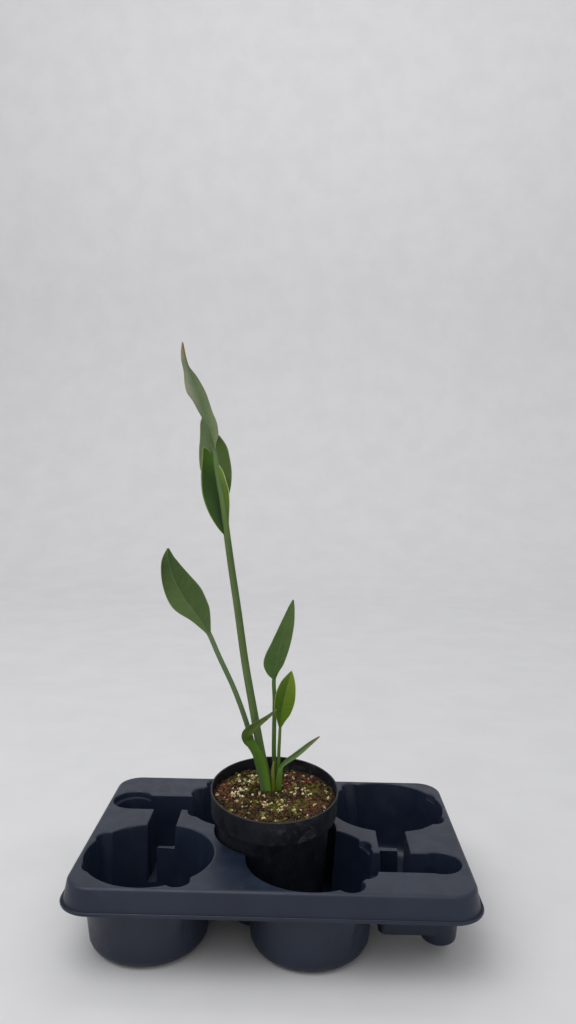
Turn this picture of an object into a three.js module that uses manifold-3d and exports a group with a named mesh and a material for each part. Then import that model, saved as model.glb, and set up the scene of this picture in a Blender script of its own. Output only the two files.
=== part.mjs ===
// Potted bird of paradise: a young plant in a nursery pot, standing in a moulded carry tray.
// Millimetres, +Z up. The origin is the middle of the tray's footprint, at table level.
// +X is to the right and +Y to the back; the tray's long front side faces -Y.
import * as THREE from "three";
import { mergeVertices } from "three/addons/utils/BufferGeometryUtils.js";
import Module from "manifold-3d";

const wasm = await Module();
wasm.setup();

// ---------------------------------------------------------------- driving dimensions

const fitGap = 0.35; // air left between neighbouring solids

const tray = {
  length: 388,
  depth: 262,
  height: 86.7,
  wall: 2.2,
  floor: 2.5,
  cornerRadius: 26,
  edgeBevel: 1.6,
  skirtDrop: 21,
  skirtFlare: 4,
  lipReach: 3,
  lipThickness: 2.6,
};

// Five round pockets: the middle one is shallower, and two of the others run into it.
const outerPocket = { mouth: 65, foot: 56, bottom: tray.floor, round: 13, sides: 28 };
const middlePocket = { mouth: 65.5, foot: 61, bottom: 10, round: 8, sides: 28 };
const leftPocket = { x: -124.5, y: -62 };
const frontPocket = { x: 37.5, y: -63 };

// Finger flutes at the pockets' edges: place from the pocket's middle, radius at the top and
// at the foot, lowest point, and how far the foot draws in towards the pocket's middle. Some
// have a ledge of that width a little below the deck.
const flutes = [
  { by: leftPocket, x: 35.5, y: -50, radius: 12.5, foot: 8, bottom: 12, pull: 0.26, ledge: 0 },
  { by: leftPocket, x: -49.5, y: 31.5, radius: 12.5, foot: 9, bottom: 30, pull: 0.12, ledge: 0 },
  { by: leftPocket, x: -45.5, y: -24, radius: 16, foot: 12, bottom: 30, pull: 0.12, ledge: 3 },
  { by: leftPocket, x: -25.5, y: 45, radius: 14, foot: 9, bottom: 40, pull: 0.1, ledge: 0 },
  { by: frontPocket, x: 37.5, y: -51, radius: 13, foot: 8, bottom: 12, pull: 0.26, ledge: 0 },
  { by: frontPocket, x: 50.5, y: -24, radius: 15, foot: 8, bottom: 12, pull: 0.22, ledge: 0 },
  { by: frontPocket, x: 49, y: 26, radius: 14, foot: 9, bottom: 20, pull: 0.15, ledge: 3.5 },
];
const ledgeHeight = 79;

// Two deep T-shaped slots lie between the pockets, one at each end: a bar with a round well at
// its end, and a stem. Each opens into the pockets beside it over low saddles.
const slots = [
  { left: -168, right: -105, front: 40, back: 77.5, bottom: 25, corner: 6, taper: 3 },
  { left: -118, right: -92, front: 40, back: 77.5, bottom: 62, corner: 4, taper: 1 },
  { left: -139, right: -108, front: 3, back: 48, bottom: 25, corner: 4, taper: 3 },
  { left: -139, right: -127, front: -12, back: 14, bottom: 25, corner: 4, taper: 1 },
  { left: -131, right: -108, front: -12, back: 14, bottom: 61, corner: 4, taper: 1 },
  { left: 104, right: 168, front: -87.5, back: -49, bottom: 25, corner: 6, taper: 3 },
  { left: 92, right: 118, front: -87.5, back: -49, bottom: 62, corner: 4, taper: 1 },
  { left: 108, right: 139, front: -55, back: -6, bottom: 25, corner: 4, taper: 3 },
  { left: 131, right: 139, front: -17, back: 12, bottom: 25, corner: 3, taper: 0.5 },
  { left: 108, right: 135, front: -17, back: 12, bottom: 67, corner: 4, taper: 1 },
];
const slotWellShape = { mouth: 21.5, foot: 15, bottom: 12, round: 5, sides: 16 };
const wellStepShape = { mouth: 23, foot: 22.4, bottom: ledgeHeight, round: 0.8, sides: 16 };
const slotWells = [
  { x: -165, y: 61.5, shape: slotWellShape },
  { x: -167, y: 63.5, shape: wellStepShape },
  { x: 165.5, y: -68, shape: slotWellShape },
];

const pot = {
  height: 119.7,
  rimRadius: 67.7,
  collarHeight: 26,
  collarRadius: 66.7,
  bodyRadius: 59.6,
  footRadius: 55.3,
  wall: 1.5,
  drainHoles: 6,
  drainRadius: 4,
  drainCircle: 42,
  sides: 36,
};
// The pot leans to the front, and a little to the right.
const potLeanFront = 7.0;
const potLeanRight = 1.1;
const potFoot = { x: -3.4, y: 3.4 };

const soil = { belowRim: 9, slopeFront: 0.07, relief: 1.5, rings: 11 };

const bladeThickness = 0.9;

const crown = { x: -5, y: 7, topRadius: 17, tipRadius: 6, height: 26 };
const root = { count: 6, length: 62, spread: 30, radius: 2.6, tipRadius: 0.9 };

// ---------------------------------------------------------------- small geometry helpers

const radians = THREE.MathUtils.degToRad;

function vector(point) {
  return new THREE.Vector3(point[0], point[1], point[2]);
}

// A smooth curve of values through [place, value] pairs.
function profile(pairs, place) {
  const last = pairs.length - 1;
  if (place <= pairs[0][0]) return pairs[0][1];
  if (place >= pairs[last][0]) return pairs[last][1];
  const i = pairs.findIndex(([key]) => key > place) - 1;
  const slope = (k) => {
    const before = pairs[Math.max(k - 1, 0)];
    const after = pairs[Math.min(k + 1, last)];
    return (after[1] - before[1]) / (after[0] - before[0]);
  };
  const span = pairs[i + 1][0] - pairs[i][0];
  const f = (place - pairs[i][0]) / span;
  const g = 1 - f;
  const ends = pairs[i][1] * g * g * (1 + 2 * f) + pairs[i + 1][1] * f * f * (3 - 2 * f);
  return ends + span * f * g * (slope(i) * g - slope(i + 1) * f);
}

function triangleGeometry(points, triangles) {
  const geometry = new THREE.BufferGeometry();
  const positions = points.flatMap((p) => [p.x, p.y, p.z]);
  geometry.setAttribute("position", new THREE.Float32BufferAttribute(positions, 3));
  geometry.setIndex(triangles.flat());
  return geometry;
}

function enclosedVolume(positions, indices) {
  const corner = (k) => vector(positions.slice(3 * indices[k], 3 * indices[k] + 3));
  let volume = 0;
  for (let k = 0; k < indices.length; k += 3) {
    volume += corner(k).dot(corner(k + 1).cross(corner(k + 2))) / 6;
  }
  return volume;
}

// A closed mesh becomes a solid for cutting and joining, with its faces pointing out.
function toSolid(geometry) {
  const plain = geometry.clone();
  plain.deleteAttribute("normal");
  plain.deleteAttribute("uv");
  const merged = mergeVertices(plain, 1e-4);
  const positions = Float32Array.from(merged.attributes.position.array);
  const indices = Uint32Array.from(merged.index.array);
  if (enclosedVolume(positions, indices) < 0) indices.reverse();
  return new wasm.Manifold(
    new wasm.Mesh({ numProp: 3, vertProperties: positions, triVerts: indices }),
  );
}

function toGeometry(solid) {
  const mesh = solid.getMesh();
  const geometry = new THREE.BufferGeometry();
  const positions = new THREE.Float32BufferAttribute(mesh.vertProperties, 3);
  geometry.setAttribute("position", positions);
  geometry.setIndex(Array.from(mesh.triVerts));
  return geometry;
}

function joined(solids) {
  return solids.reduce((whole, piece) => whole.add(piece));
}

function cutBy(solid, cutters) {
  return cutters.reduce((whole, cutter) => whole.subtract(cutter), solid);
}

// A closed body through rings of equally many points, listed from the bottom up.
function ringBody(rings) {
  const sides = rings[0].length;
  const points = rings.flat();
  const triangles = [];
  for (let level = 0; level + 1 < rings.length; level += 1) {
    for (let k = 0; k < sides; k += 1) {
      const a = level * sides + k;
      const b = level * sides + ((k + 1) % sides);
      triangles.push([a, b, b + sides], [a, b + sides, a + sides]);
    }
  }
  const top = points.length - sides;
  for (let k = 1; k + 1 < sides; k += 1) {
    triangles.push([0, k + 1, k], [top, top + k, top + k + 1]);
  }
  return triangleGeometry(points, triangles);
}

function roundedRectangle(x, y, z, halfX, halfY, radius) {
  const perCorner = 5;
  const ring = [];
  const signs = [[1, 1], [-1, 1], [-1, -1], [1, -1]];
  signs.forEach(([sx, sy], quarter) => {
    for (let k = 0; k <= perCorner; k += 1) {
      const angle = (quarter + k / perCorner) * Math.PI / 2;
      const px = x + sx * (halfX - radius) + radius * Math.cos(angle);
      const py = y + sy * (halfY - radius) + radius * Math.sin(angle);
      ring.push(new THREE.Vector3(px, py, z));
    }
  });
  return ring;
}

function circle(x, y, z, radius, sides) {
  const ring = [];
  for (let k = 0; k < sides; k += 1) {
    const angle = 2 * Math.PI * k / sides;
    ring.push(new THREE.Vector3(x + radius * Math.cos(angle), y + radius * Math.sin(angle), z));
  }
  return ring;
}

function frustum(x, y, bottom, top, bottomRadius, topRadius, sides) {
  const geometry = new THREE.CylinderGeometry(topRadius, bottomRadius, top - bottom, sides);
  geometry.rotateX(Math.PI / 2);
  geometry.translate(x, y, (bottom + top) / 2);
  return toSolid(geometry);
}

// A tube that narrows from its first point to its last.
function taperedTube(points, startRadius, endRadius, sides, steps) {
  const curve = new THREE.CatmullRomCurve3(points);
  const rings = [];
  for (let step = 0; step <= steps; step += 1) {
    const share = step / steps;
    const centre = curve.getPointAt(share);
    const along = curve.getTangentAt(share);
    const across = new THREE.Vector3(1, 0, 0).cross(along).normalize();
    const other = along.clone().cross(across);
    const radius = startRadius + (endRadius - startRadius) * share;
    const ring = [];
    for (let k = 0; k < sides; k += 1) {
      const angle = 2 * Math.PI * k / sides;
      const point = centre.clone().addScaledVector(across, radius * Math.cos(angle));
      ring.push(point.addScaledVector(other, radius * Math.sin(angle)));
    }
    rings.push(ring);
  }
  return ringBody(rings);
}

function part(name, geometry, colour, roughness) {
  const material = new THREE.MeshStandardMaterial({ color: colour, roughness, metalness: 0 });
  const mesh = new THREE.Mesh(geometry, material);
  mesh.name = name;
  return mesh;
}

// ---------------------------------------------------------------- the tray

// Each well below is the hollow that is cut, or with a wall's thickness added, its skin.
// A round well's side narrows to the foot, whose edge is rounded.
function roundWell(x, y, { mouth, foot, bottom, round, sides }, wall) {
  const top = tray.height + (wall ? -1 : 1);
  const low = bottom - (wall ? tray.floor : 0);
  const slope = (mouth - foot) / (tray.height - bottom);
  const radiusAt = (z) => foot + slope * (z - bottom) + wall;
  return toSolid(ringBody([
    circle(x, y, low, radiusAt(bottom) - round, sides),
    circle(x, y, low + 0.12 * round, radiusAt(bottom) - 0.6 * round, sides),
    circle(x, y, low + 0.4 * round, radiusAt(bottom) - 0.24 * round, sides),
    circle(x, y, low + round, radiusAt(bottom + round), sides),
    circle(x, y, top, radiusAt(top), sides),
  ]));
}

function fluteBody({ by, x, y, radius, foot, bottom, pull, ledge }, turn, wall) {
  const sides = 12;
  const top = tray.height + (wall ? -1 : 1);
  const ring = (z, size) => {
    const share = 1 - pull * (top - z) / (top - bottom);
    return circle(turn * (by.x + x * share), turn * (by.y + y * share), z, size + wall, sides);
  };
  const rings = [ring(bottom - wall, foot)];
  if (ledge) {
    rings.push(ring(ledgeHeight - 1 - wall, radius - ledge - 0.5));
    rings.push(ring(ledgeHeight - wall, radius - 0.5));
  }
  return toSolid(ringBody([...rings, ring(top, radius)]));
}

function slotBody({ left, right, front, back, bottom, corner, taper }, wall) {
  const x = (left + right) / 2;
  const y = (front + back) / 2;
  const halfX = (right - left) / 2 + wall;
  const halfY = (back - front) / 2 + wall;
  const top = tray.height + (wall ? -1 : 1);
  return toSolid(ringBody([
    roundedRectangle(x, y, bottom - wall, halfX - taper, halfY - taper, corner + wall),
    roundedRectangle(x, y, top, halfX, halfY, corner + wall),
  ]));
}

function trayWells(wall) {
  const wells = [roundWell(0, 0, middlePocket, wall)];
  // The pockets look the same turned half round, so each is made twice with its flutes.
  for (const turn of [1, -1]) {
    wells.push(roundWell(turn * leftPocket.x, turn * leftPocket.y, outerPocket, wall));
    wells.push(roundWell(turn * frontPocket.x, turn * frontPocket.y, outerPocket, wall));
    wells.push(...flutes.map((flute) => fluteBody(flute, turn, wall)));
  }
  wells.push(...slots.map((slot) => slotBody(slot, wall)));
  wells.push(...slotWells.map(({ x, y, shape }) => roundWell(x, y, shape, wall)));
  return wells;
}

function trayDeck() {
  const halfX = tray.length / 2;
  const halfY = tray.depth / 2;
  const lipTop = tray.height - tray.skirtDrop;
  const lipBottom = lipTop - tray.lipThickness;
  const ring = (z, out) =>
    roundedRectangle(0, 0, z, halfX + out, halfY + out, tray.cornerRadius + out);
  const lipOut = tray.skirtFlare + tray.lipReach;
  const outside = toSolid(ringBody([
    ring(lipBottom, lipOut),
    ring(lipTop, lipOut),
    ring(lipTop + 0.4, tray.skirtFlare),
    ring(tray.height - 2.5 * tray.edgeBevel, 0.6),
    ring(tray.height - tray.edgeBevel / 2, -tray.edgeBevel / 2),
    ring(tray.height, -tray.edgeBevel),
  ]));
  const inside = toSolid(ringBody([
    ring(lipBottom - 1, tray.skirtFlare - tray.wall),
    ring(lipTop, tray.skirtFlare - tray.wall),
    ring(tray.height - tray.wall, -tray.wall),
  ]));
  return outside.subtract(inside);
}

function makeTray() {
  const skins = trayWells(tray.wall);
  const hollows = trayWells(0);
  const body = cutBy(joined([trayDeck(), ...skins]), hollows);
  return part("tray", toGeometry(body), 0x3d4651, 0.55);
}

// ---------------------------------------------------------------- the pot and its soil

const potTurn = new THREE.Matrix4().makeRotationFromEuler(
  new THREE.Euler(radians(potLeanFront), radians(potLeanRight), 0),
);
const potFootHeight = middlePocket.bottom + fitGap + pot.footRadius * Math.sin(radians(potLeanFront));
const potPlace = new THREE.Matrix4()
  .makeTranslation(potFoot.x, potFoot.y, potFootHeight)
  .multiply(potTurn);
const plantUp = new THREE.Vector3(0, 0, 1).transformDirection(potPlace);

const collarFoot = pot.height - pot.collarHeight;
const potFloorTop = 2;

function bodyRadiusAt(z) {
  return pot.footRadius + (pot.bodyRadius - pot.footRadius) * z / collarFoot;
}

function collarRadiusAt(z) {
  const share = (z - collarFoot) / pot.collarHeight;
  return pot.collarRadius + (pot.rimRadius - pot.collarRadius) * share;
}

function lathed(profilePoints) {
  const points = profilePoints.map(([r, z]) => new THREE.Vector2(r, z));
  const geometry = new THREE.LatheGeometry(points, pot.sides);
  geometry.rotateX(Math.PI / 2);
  return geometry;
}

function makePot() {
  const rimBead = 1.6;
  const outline = [
    [0, 1.2],
    [pot.footRadius - 6, 1.2],
    [pot.footRadius - 5, 0],
    [pot.footRadius - 1, 0],
    [bodyRadiusAt(1), 1],
    [bodyRadiusAt(collarFoot - 0.5), collarFoot - 0.5],
    [pot.collarRadius - 0.8, collarFoot],
    [pot.collarRadius, collarFoot + 0.8],
    [collarRadiusAt(pot.height - 2), pot.height - 2],
    [pot.rimRadius, pot.height - 0.4],
    [pot.rimRadius - 0.4, pot.height],
    [pot.rimRadius - rimBead, pot.height],
    [collarRadiusAt(pot.height - 1) - pot.wall, pot.height - 1],
    [pot.collarRadius - pot.wall, collarFoot + 2.4],
    [bodyRadiusAt(collarFoot) - pot.wall, collarFoot + 1.2],
    [bodyRadiusAt(potFloorTop) - pot.wall, potFloorTop + 1.2],
    [0, potFloorTop + 1.2],
  ];
  const shell = toSolid(lathed(outline));
  const holes = [];
  for (let k = 0; k < pot.drainHoles; k += 1) {
    const angle = 2 * Math.PI * (k + 0.5) / pot.drainHoles;
    const x = pot.drainCircle * Math.cos(angle);
    const y = pot.drainCircle * Math.sin(angle);
    holes.push(frustum(x, y, -1, 6, pot.drainRadius, pot.drainRadius, 10));
  }
  const geometry = toGeometry(cutBy(shell, holes));
  geometry.applyMatrix4(potPlace);
  return part("pot", geometry, 0x171c1f, 0.6);
}

// Heights of the loose surface over its mean level, as sums of waves of three sizes.
function soilRelief(x, y) {
  const broad = Math.sin(x / 11 + 1.3) * Math.cos(y / 13 - 0.4);
  const lumps = Math.sin(x / 4.7 + y / 6.1) * Math.sin(y / 4.1 - x / 7.3 + 2);
  const crumbs = Math.sin(x / 2.3 - y / 3.1) * Math.cos(y / 2.1 + x / 3.7);
  return soil.relief * (0.55 * broad + 0.6 * lumps + 0.35 * crumbs);
}

function makeSoil(stalkHoles) {
  const bottom = potFloorTop + 1.2 + fitGap;
  const level = pot.height - soil.belowRim;
  const step = collarFoot + 2.4 + fitGap;
  const insideBody = (z) => bodyRadiusAt(z) - pot.wall - fitGap - 0.1;
  const edge = collarRadiusAt(step) - pot.wall - fitGap - 0.2;
  const outline = [
    [0, bottom],
    [insideBody(bottom), bottom],
    [insideBody(collarFoot + 1.2), collarFoot + 1.2 + fitGap],
    [edge, step + 0.4],
  ];
  for (let k = soil.rings; k >= 0; k -= 1) {
    outline.push([edge * k / soil.rings, level]);
  }
  const geometry = lathed(outline);
  const places = geometry.attributes.position;
  for (let i = 0; i < places.count; i += 1) {
    if (places.getZ(i) < level - 0.5) continue;
    const x = places.getX(i);
    const y = places.getY(i);
    places.setZ(i, level - soil.slopeFront * y + soilRelief(x, y));
  }
  geometry.applyMatrix4(potPlace);
  const body = cutBy(toSolid(geometry), stalkHoles);
  return part("soil", toGeometry(body), 0x3b2619, 0.95);
}

// ---------------------------------------------------------------- the roots

const stalkFootLevel = 112;

// The crown that the stalks grow from, with its fleshy roots; grow widens it for its hollow.
function crownSolid(grow) {
  const top = stalkFootLevel - fitGap + grow;
  const low = top - crown.height - 2 * grow;
  const body = frustum(
    crown.x, crown.y, low, top, crown.tipRadius + grow, crown.topRadius + grow, 14,
  );
  const roots = [];
  for (let k = 0; k < root.count; k += 1) {
    const angle = 2 * Math.PI * (k + 0.3) / root.count;
    const reach = root.spread * (0.75 + 0.25 * Math.sin(5 * k + 1));
    const at = (share, drop) => new THREE.Vector3(
      crown.x + (4 + reach * share) * Math.cos(angle + share),
      crown.y + (4 + reach * share) * Math.sin(angle + share),
      low + 12 - root.length * drop,
    );
    const route = [at(0, 0), at(0.35, 0.18), at(0.75, 0.5), at(0.9, 1 + grow / root.length)];
    const thick = root.radius + grow;
    const thin = root.tipRadius + grow;
    roots.push(toSolid(taperedTube(route, thick, thin, 6, 6)));
  }
  return joined([body, ...roots]);
}

// ---------------------------------------------------------------- the leaves

// Each leaf is one body: a stalk that stands in the soil and a thin blade along its midrib.
// Widths are half widths in millimetres. Folds and curls are in degrees: a half's fold is
// the angle that it makes with the flat blade at the midrib, and its curl is how much
// further it has turned at the margin. Places along stalk and blade run from 0 to 1.
// The rib stands out at the back; ribFront is how much of that it also does in front.
// The tall leaf is split and turned over on its way up, so its blade is a set of lobes. Each
// lobe runs from one stretch of the midrib to a margin that is drawn point by point; its side
// is -1 for the left half and 1 for the right, and its bow is how far it bulges in between.
const leaves = [
  {
    name: "leaf_tall",
    colour: 0x41682f,
    stalk: [[-10, 3, 129], [-13, 0, 150], [-17, -2.5, 173], [-25, -6.5, 218],
      [-34, -11, 270], [-42, -15, 327], [-48.5, -17.5, 370], [-53, -20, 402.5]],
    blade: [[-55, -21, 418.5], [-57.5, -22.5, 438], [-61, -24, 457.5], [-64, -25, 474.5],
      [-66.5, -26, 491], [-69, -27, 505], [-73, -28, 520], [-78, -28.5, 536],
      [-83.5, -29, 551], [-89.5, -29.5, 566], [-95, -30, 581], [-99, -30, 599.5]],
    lobes: [
      { side: -1, from: 0, to: 0.405, rings: 14, bow: [[0, 0], [0.4, -2], [0.8, -1], [1, 0]],
        margin: [[-56.5, -21, 405], [-62, -22.5, 411.5], [-68.5, -24.5, 421.5], [-74, -26, 433],
          [-78, -27, 446], [-79.5, -27.5, 459], [-79.5, -28, 473.5], [-78.5, -28, 483.5],
          [-77.5, -28, 495], [-74, -28, 493.5], [-69.5, -27, 488.5]] },
      { side: 1, from: 0.06, to: 0.335, rings: 9, bow: [[0, 0], [0.5, -1], [1, 0]],
        margin: [[-51.5, -21, 416.5], [-51, -23, 428], [-50.5, -25, 438], [-51, -27, 447.5],
          [-52.5, -28.5, 456], [-55, -29, 464], [-58, -28.5, 471.5], [-61.5, -27, 477]] },
      { side: 1, from: 0.19, to: 0.47, rings: 11, bow: [[0, 0], [0.5, -4], [1, 0]],
        margin: [[-57, -20, 441], [-53.5, -17, 442], [-51.5, -15, 449], [-50, -14, 461.5],
          [-50, -14, 474], [-52, -15, 485], [-55, -17, 496], [-59.5, -19, 503.5],
          [-64, -21, 508], [-68, -23, 506]] },
      { side: -1, from: 0.35, to: 0.63, rings: 10, bow: [[0, 0], [0.5, -3], [1, 0]],
        margin: [[-70.5, -21, 474.5], [-76.5, -18, 469], [-81, -16.5, 470.5], [-83, -16, 479.5],
          [-83, -16, 492], [-82.5, -17, 502], [-82, -18.5, 512.5], [-81, -21, 521.5],
          [-77.5, -24, 528.5]] },
      { side: -1, from: 0.44, to: 1, rings: 14, bow: [[0, 0], [0.3, 1], [1, 0]],
        margin: [[-67.5, -28, 494], [-70.5, -28.5, 505], [-74.5, -28.5, 515.5],
          [-79, -28, 524.5], [-84, -27.5, 533], [-89, -27, 542], [-94.5, -27, 549.5],
          [-97, -27, 559], [-98, -27.5, 571], [-100, -28.5, 581.5], [-100.5, -29.5, 589.5],
          [-99.5, -30, 599.5]] },
      { side: 1, from: 0.42, to: 1, rings: 15, bow: [[0, 0], [0.3, 1], [1, 0]],
        margin: [[-65.5, -28, 493], [-64.5, -28, 499.5], [-62.5, -27.5, 506], [-63, -27, 514],
          [-64.7, -26.5, 521], [-68.2, -26.5, 529], [-71.8, -26.5, 539.5], [-75, -26.5, 548.5],
          [-79.7, -27, 557.5], [-85.7, -27.5, 567], [-92, -28, 575], [-95, -28.5, 581.5],
          [-97.2, -29.5, 589.5], [-98.5, -30, 599.5]] },
    ],
    stalkWidth: [[0, 5.8], [0.15, 5.2], [0.4, 3.8], [1, 2.9]],
    stalkDepth: [[0, 4], [0.3, 3.4], [1, 2.6]],
    ribFront: 0.9,
    ribWidth: [[0, 2.9], [0.2, 2.6], [0.35, 2.2], [0.5, 1.3], [0.7, 0.9], [1, 0.5]],
    ribDepth: [[0, 2.6], [0.3, 1.8], [0.5, 1.1], [1, 0.5]],
    leftWidth: [[0, 0.5], [1, 0.5]],
    rightWidth: [[0, 0.5], [1, 0.5]],
    leftFold: [[0, 0], [1, 0]],
    leftCurl: [[0, 0], [1, 0]],
    rightFold: [[0, 0], [1, 0]],
    rightCurl: [[0, 0], [1, 0]],
    roll: [[0, 0], [1, 0]],
    stalkRings: 9,
    bladeRings: 18,
    outerSteps: 1,
  },
  {
    name: "leaf_left",
    colour: 0x375f2b,
    stalk: [[-14, 12, 128], [-20, 8, 152], [-25.5, 5, 174.5], [-31, 2.5, 195],
      [-38, 0, 217], [-47.5, -2, 242], [-62, -5, 274], [-73, -7, 299.5]],
    blade: [[-79, -8, 309], [-86.5, -9, 320], [-98.6, -10, 336], [-109.4, -11, 356],
      [-115.3, -11, 375.5], [-116, -10, 389]],
    stalkWidth: [[0, 3.6], [0.3, 2.5], [1, 2.1]],
    stalkDepth: [[0, 2.6], [0.3, 2.2], [1, 1.7]],
    ribWidth: [[0, 2.1], [0.4, 1.2], [1, 0.4]],
    ribDepth: [[0, 1.7], [0.4, 1.1], [1, 0.5]],
    leftWidth: [[0, 2.4], [0.17, 5.2], [0.33, 9], [0.5, 15.5], [0.67, 13.5], [0.83, 8.5], [1, 0.8]],
    rightWidth: [[0, 2.6], [0.17, 10], [0.33, 17], [0.5, 21.5], [0.67, 17], [0.83, 9], [1, 0.8]],
    leftFold: [[0, 20], [1, 14]],
    leftCurl: [[0, 0], [0.5, 14], [0.85, 50], [1, 20]],
    rightFold: [[0, 16], [1, 8]],
    rightCurl: [[0, 0], [0.5, -12], [1, -8]],
    roll: [[0, 0], [1, 0]],
    stalkRings: 9,
    bladeRings: 13,
    outerSteps: 2,
  },
  {
    name: "leaf_middle",
    colour: 0x3f6e30,
    stalk: [[-1, 9.5, 128], [-2.1, 8.6, 147], [-3, 8.6, 168], [-3.1, 9.5, 196],
      [-3.1, 11, 223], [-4.1, 13, 246]],
    blade: [[-1.2, 14.5, 264], [3, 16, 284], [9, 17, 306], [13.7, 18, 324], [15.5, 18, 332]],
    stalkWidth: [[0, 2.8], [0.3, 2.1], [1, 1.7]],
    stalkDepth: [[0, 2], [0.3, 1.8], [1, 1.4]],
    ribWidth: [[0, 1.7], [0.4, 1], [1, 0.4]],
    ribDepth: [[0, 1.4], [0.4, 1], [1, 0.5]],
    leftWidth: [[0, 2], [0.06, 9.5], [0.15, 15.5], [0.25, 16], [0.4, 11.5], [0.6, 7], [0.8, 3.2],
      [1, 0.6]],
    rightWidth: [[0, 2], [0.1, 4.5], [0.2, 7.8], [0.4, 10], [0.6, 8], [0.8, 3.5], [1, 0.6]],
    leftFold: [[0, 30], [0.4, 20], [1, 10]],
    leftCurl: [[0, 0], [0.3, 16], [1, 10]],
    rightFold: [[0, 24], [0.4, 18], [1, 10]],
    rightCurl: [[0, 0], [0.4, -10], [1, 0]],
    roll: [[0, 0], [1, 0]],
    stalkRings: 6,
    bladeRings: 12,
    outerSteps: 2,
  },
  {
    name: "leaf_bright",
    colour: 0x5c8f2c,
    stalk: [[1.5, 4.6, 128.5], [2.4, 3.4, 149], [2.6, 1, 170.5], [3.2, -1, 186], [3.7, -3, 198.5]],
    blade: [[5.5, -5, 215.5], [8, -7, 231], [11.5, -9, 247], [15.1, -10, 261]],
    stalkWidth: [[0, 1.6], [1, 1.2]],
    stalkDepth: [[0, 1.3], [1, 1]],
    ribWidth: [[0, 1.2], [0.4, 0.8], [1, 0.4]],
    ribDepth: [[0, 1], [0.4, 0.8], [1, 0.5]],
    leftWidth: [[0, 1.4], [0.12, 4.5], [0.25, 8], [0.5, 10.4], [0.75, 8.4], [0.9, 4.2], [1, 0.6]],
    rightWidth: [[0, 1.4], [0.12, 5], [0.25, 9.4], [0.5, 11.4], [0.75, 8.2], [0.9, 4.2], [1, 0.6]],
    leftFold: [[0, 26], [1, 16]],
    leftCurl: [[0, 0], [0.5, -12], [1, 0]],
    rightFold: [[0, 26], [1, 12]],
    rightCurl: [[0, 0], [0.5, -20], [1, -10]],
    roll: [[0, 0], [1, 0]],
    stalkRings: 5,
    bladeRings: 11,
    outerSteps: 2,
  },
  {
    name: "leaf_curled",
    colour: 0x33642a,
    stalk: [[-11, -3.9, 130], [-14.5, -7.6, 152], [-19, -11.2, 170], [-25.5, -13, 182],
      [-30.5, -14, 187.5]],
    blade: [[-30.4, -15, 194.5], [-24.6, -16, 201], [-17.2, -17, 207.2], [-8.8, -18, 214],
      [0.3, -18, 222]],
    stalkWidth: [[0, 5.2], [0.3, 4.8], [0.6, 4.6], [1, 4.2]],
    stalkDepth: [[0, 0.7], [0.5, 0.8], [1, 0.8]],
    ribWidth: [[0, 1.6], [0.4, 0.9], [1, 0.4]],
    ribDepth: [[0, 0.8], [0.4, 0.7], [1, 0.5]],
    leftWidth: [[0, 4.6], [0.15, 5.6], [0.4, 5], [0.6, 3.6], [0.8, 2.2], [1, 0.6]],
    rightWidth: [[0, 4.4], [0.15, 4.6], [0.4, 4], [0.6, 2.8], [0.8, 1.7], [1, 0.6]],
    leftFold: [[0, 10], [1, 10]],
    leftCurl: [[0, 0], [0.5, 20], [1, 0]],
    rightFold: [[0, 10], [1, 10]],
    rightCurl: [[0, 0], [0.5, 20], [1, 0]],
    roll: [[0, 0], [1, 0]],
    stalkRings: 6,
    bladeRings: 11,
    outerSteps: 2,
  },
  {
    name: "leaf_spear",
    colour: 0x5a8a3a,
    stalk: [[2, -0.6, 130], [3.4, -0.9, 143], [5.4, 0.6, 153.5]],
    blade: [[11.4, 4, 159], [18.4, 7, 163.2], [27, 10, 169], [35.5, 13, 175.2], [46.4, 16, 182.4]],
    stalkWidth: [[0, 3.4], [0.5, 3], [1, 1.8]],
    stalkDepth: [[0, 0.7], [1, 0.8]],
    ribWidth: [[0, 1.4], [0.4, 0.9], [1, 0.4]],
    ribDepth: [[0, 0.9], [0.4, 0.8], [1, 0.5]],
    leftWidth: [[0, 2], [0.3, 3.2], [0.6, 3], [0.85, 2], [1, 0.5]],
    rightWidth: [[0, 2], [0.3, 3.2], [0.6, 3], [0.85, 2], [1, 0.5]],
    leftFold: [[0, 30], [1, 25]],
    leftCurl: [[0, 0], [1, 0]],
    rightFold: [[0, 30], [1, 25]],
    rightCurl: [[0, 0], [1, 0]],
    roll: [[0, 0], [1, 0]],
    stalkRings: 4,
    bladeRings: 9,
    outerSteps: 1,
  },
  {
    name: "sheath_yellow",
    colour: 0xa8a44a,
    stalk: [[-2.9, -3.4, 130], [-3.2, -3.8, 144]],
    blade: [[-3.6, -3.9, 150], [-3.2, -3.8, 156], [-2.6, -3.6, 161]],
    stalkWidth: [[0, 1.2], [1, 1.4]],
    stalkDepth: [[0, 0.5], [1, 0.5]],
    ribWidth: [[0, 0.8], [1, 0.3]],
    ribDepth: [[0, 0.5], [1, 0.45]],
    leftWidth: [[0, 1.6], [0.5, 1.3], [1, 0.4]],
    rightWidth: [[0, 1.6], [0.5, 1.3], [1, 0.4]],
    leftFold: [[0, 0], [1, 0]],
    leftCurl: [[0, 0], [1, 0]],
    rightFold: [[0, 0], [1, 0]],
    rightCurl: [[0, 0], [1, 0]],
    roll: [[0, 0], [1, 0]],
    stalkRings: 3,
    bladeRings: 5,
    outerSteps: 1,
  },
];

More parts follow.
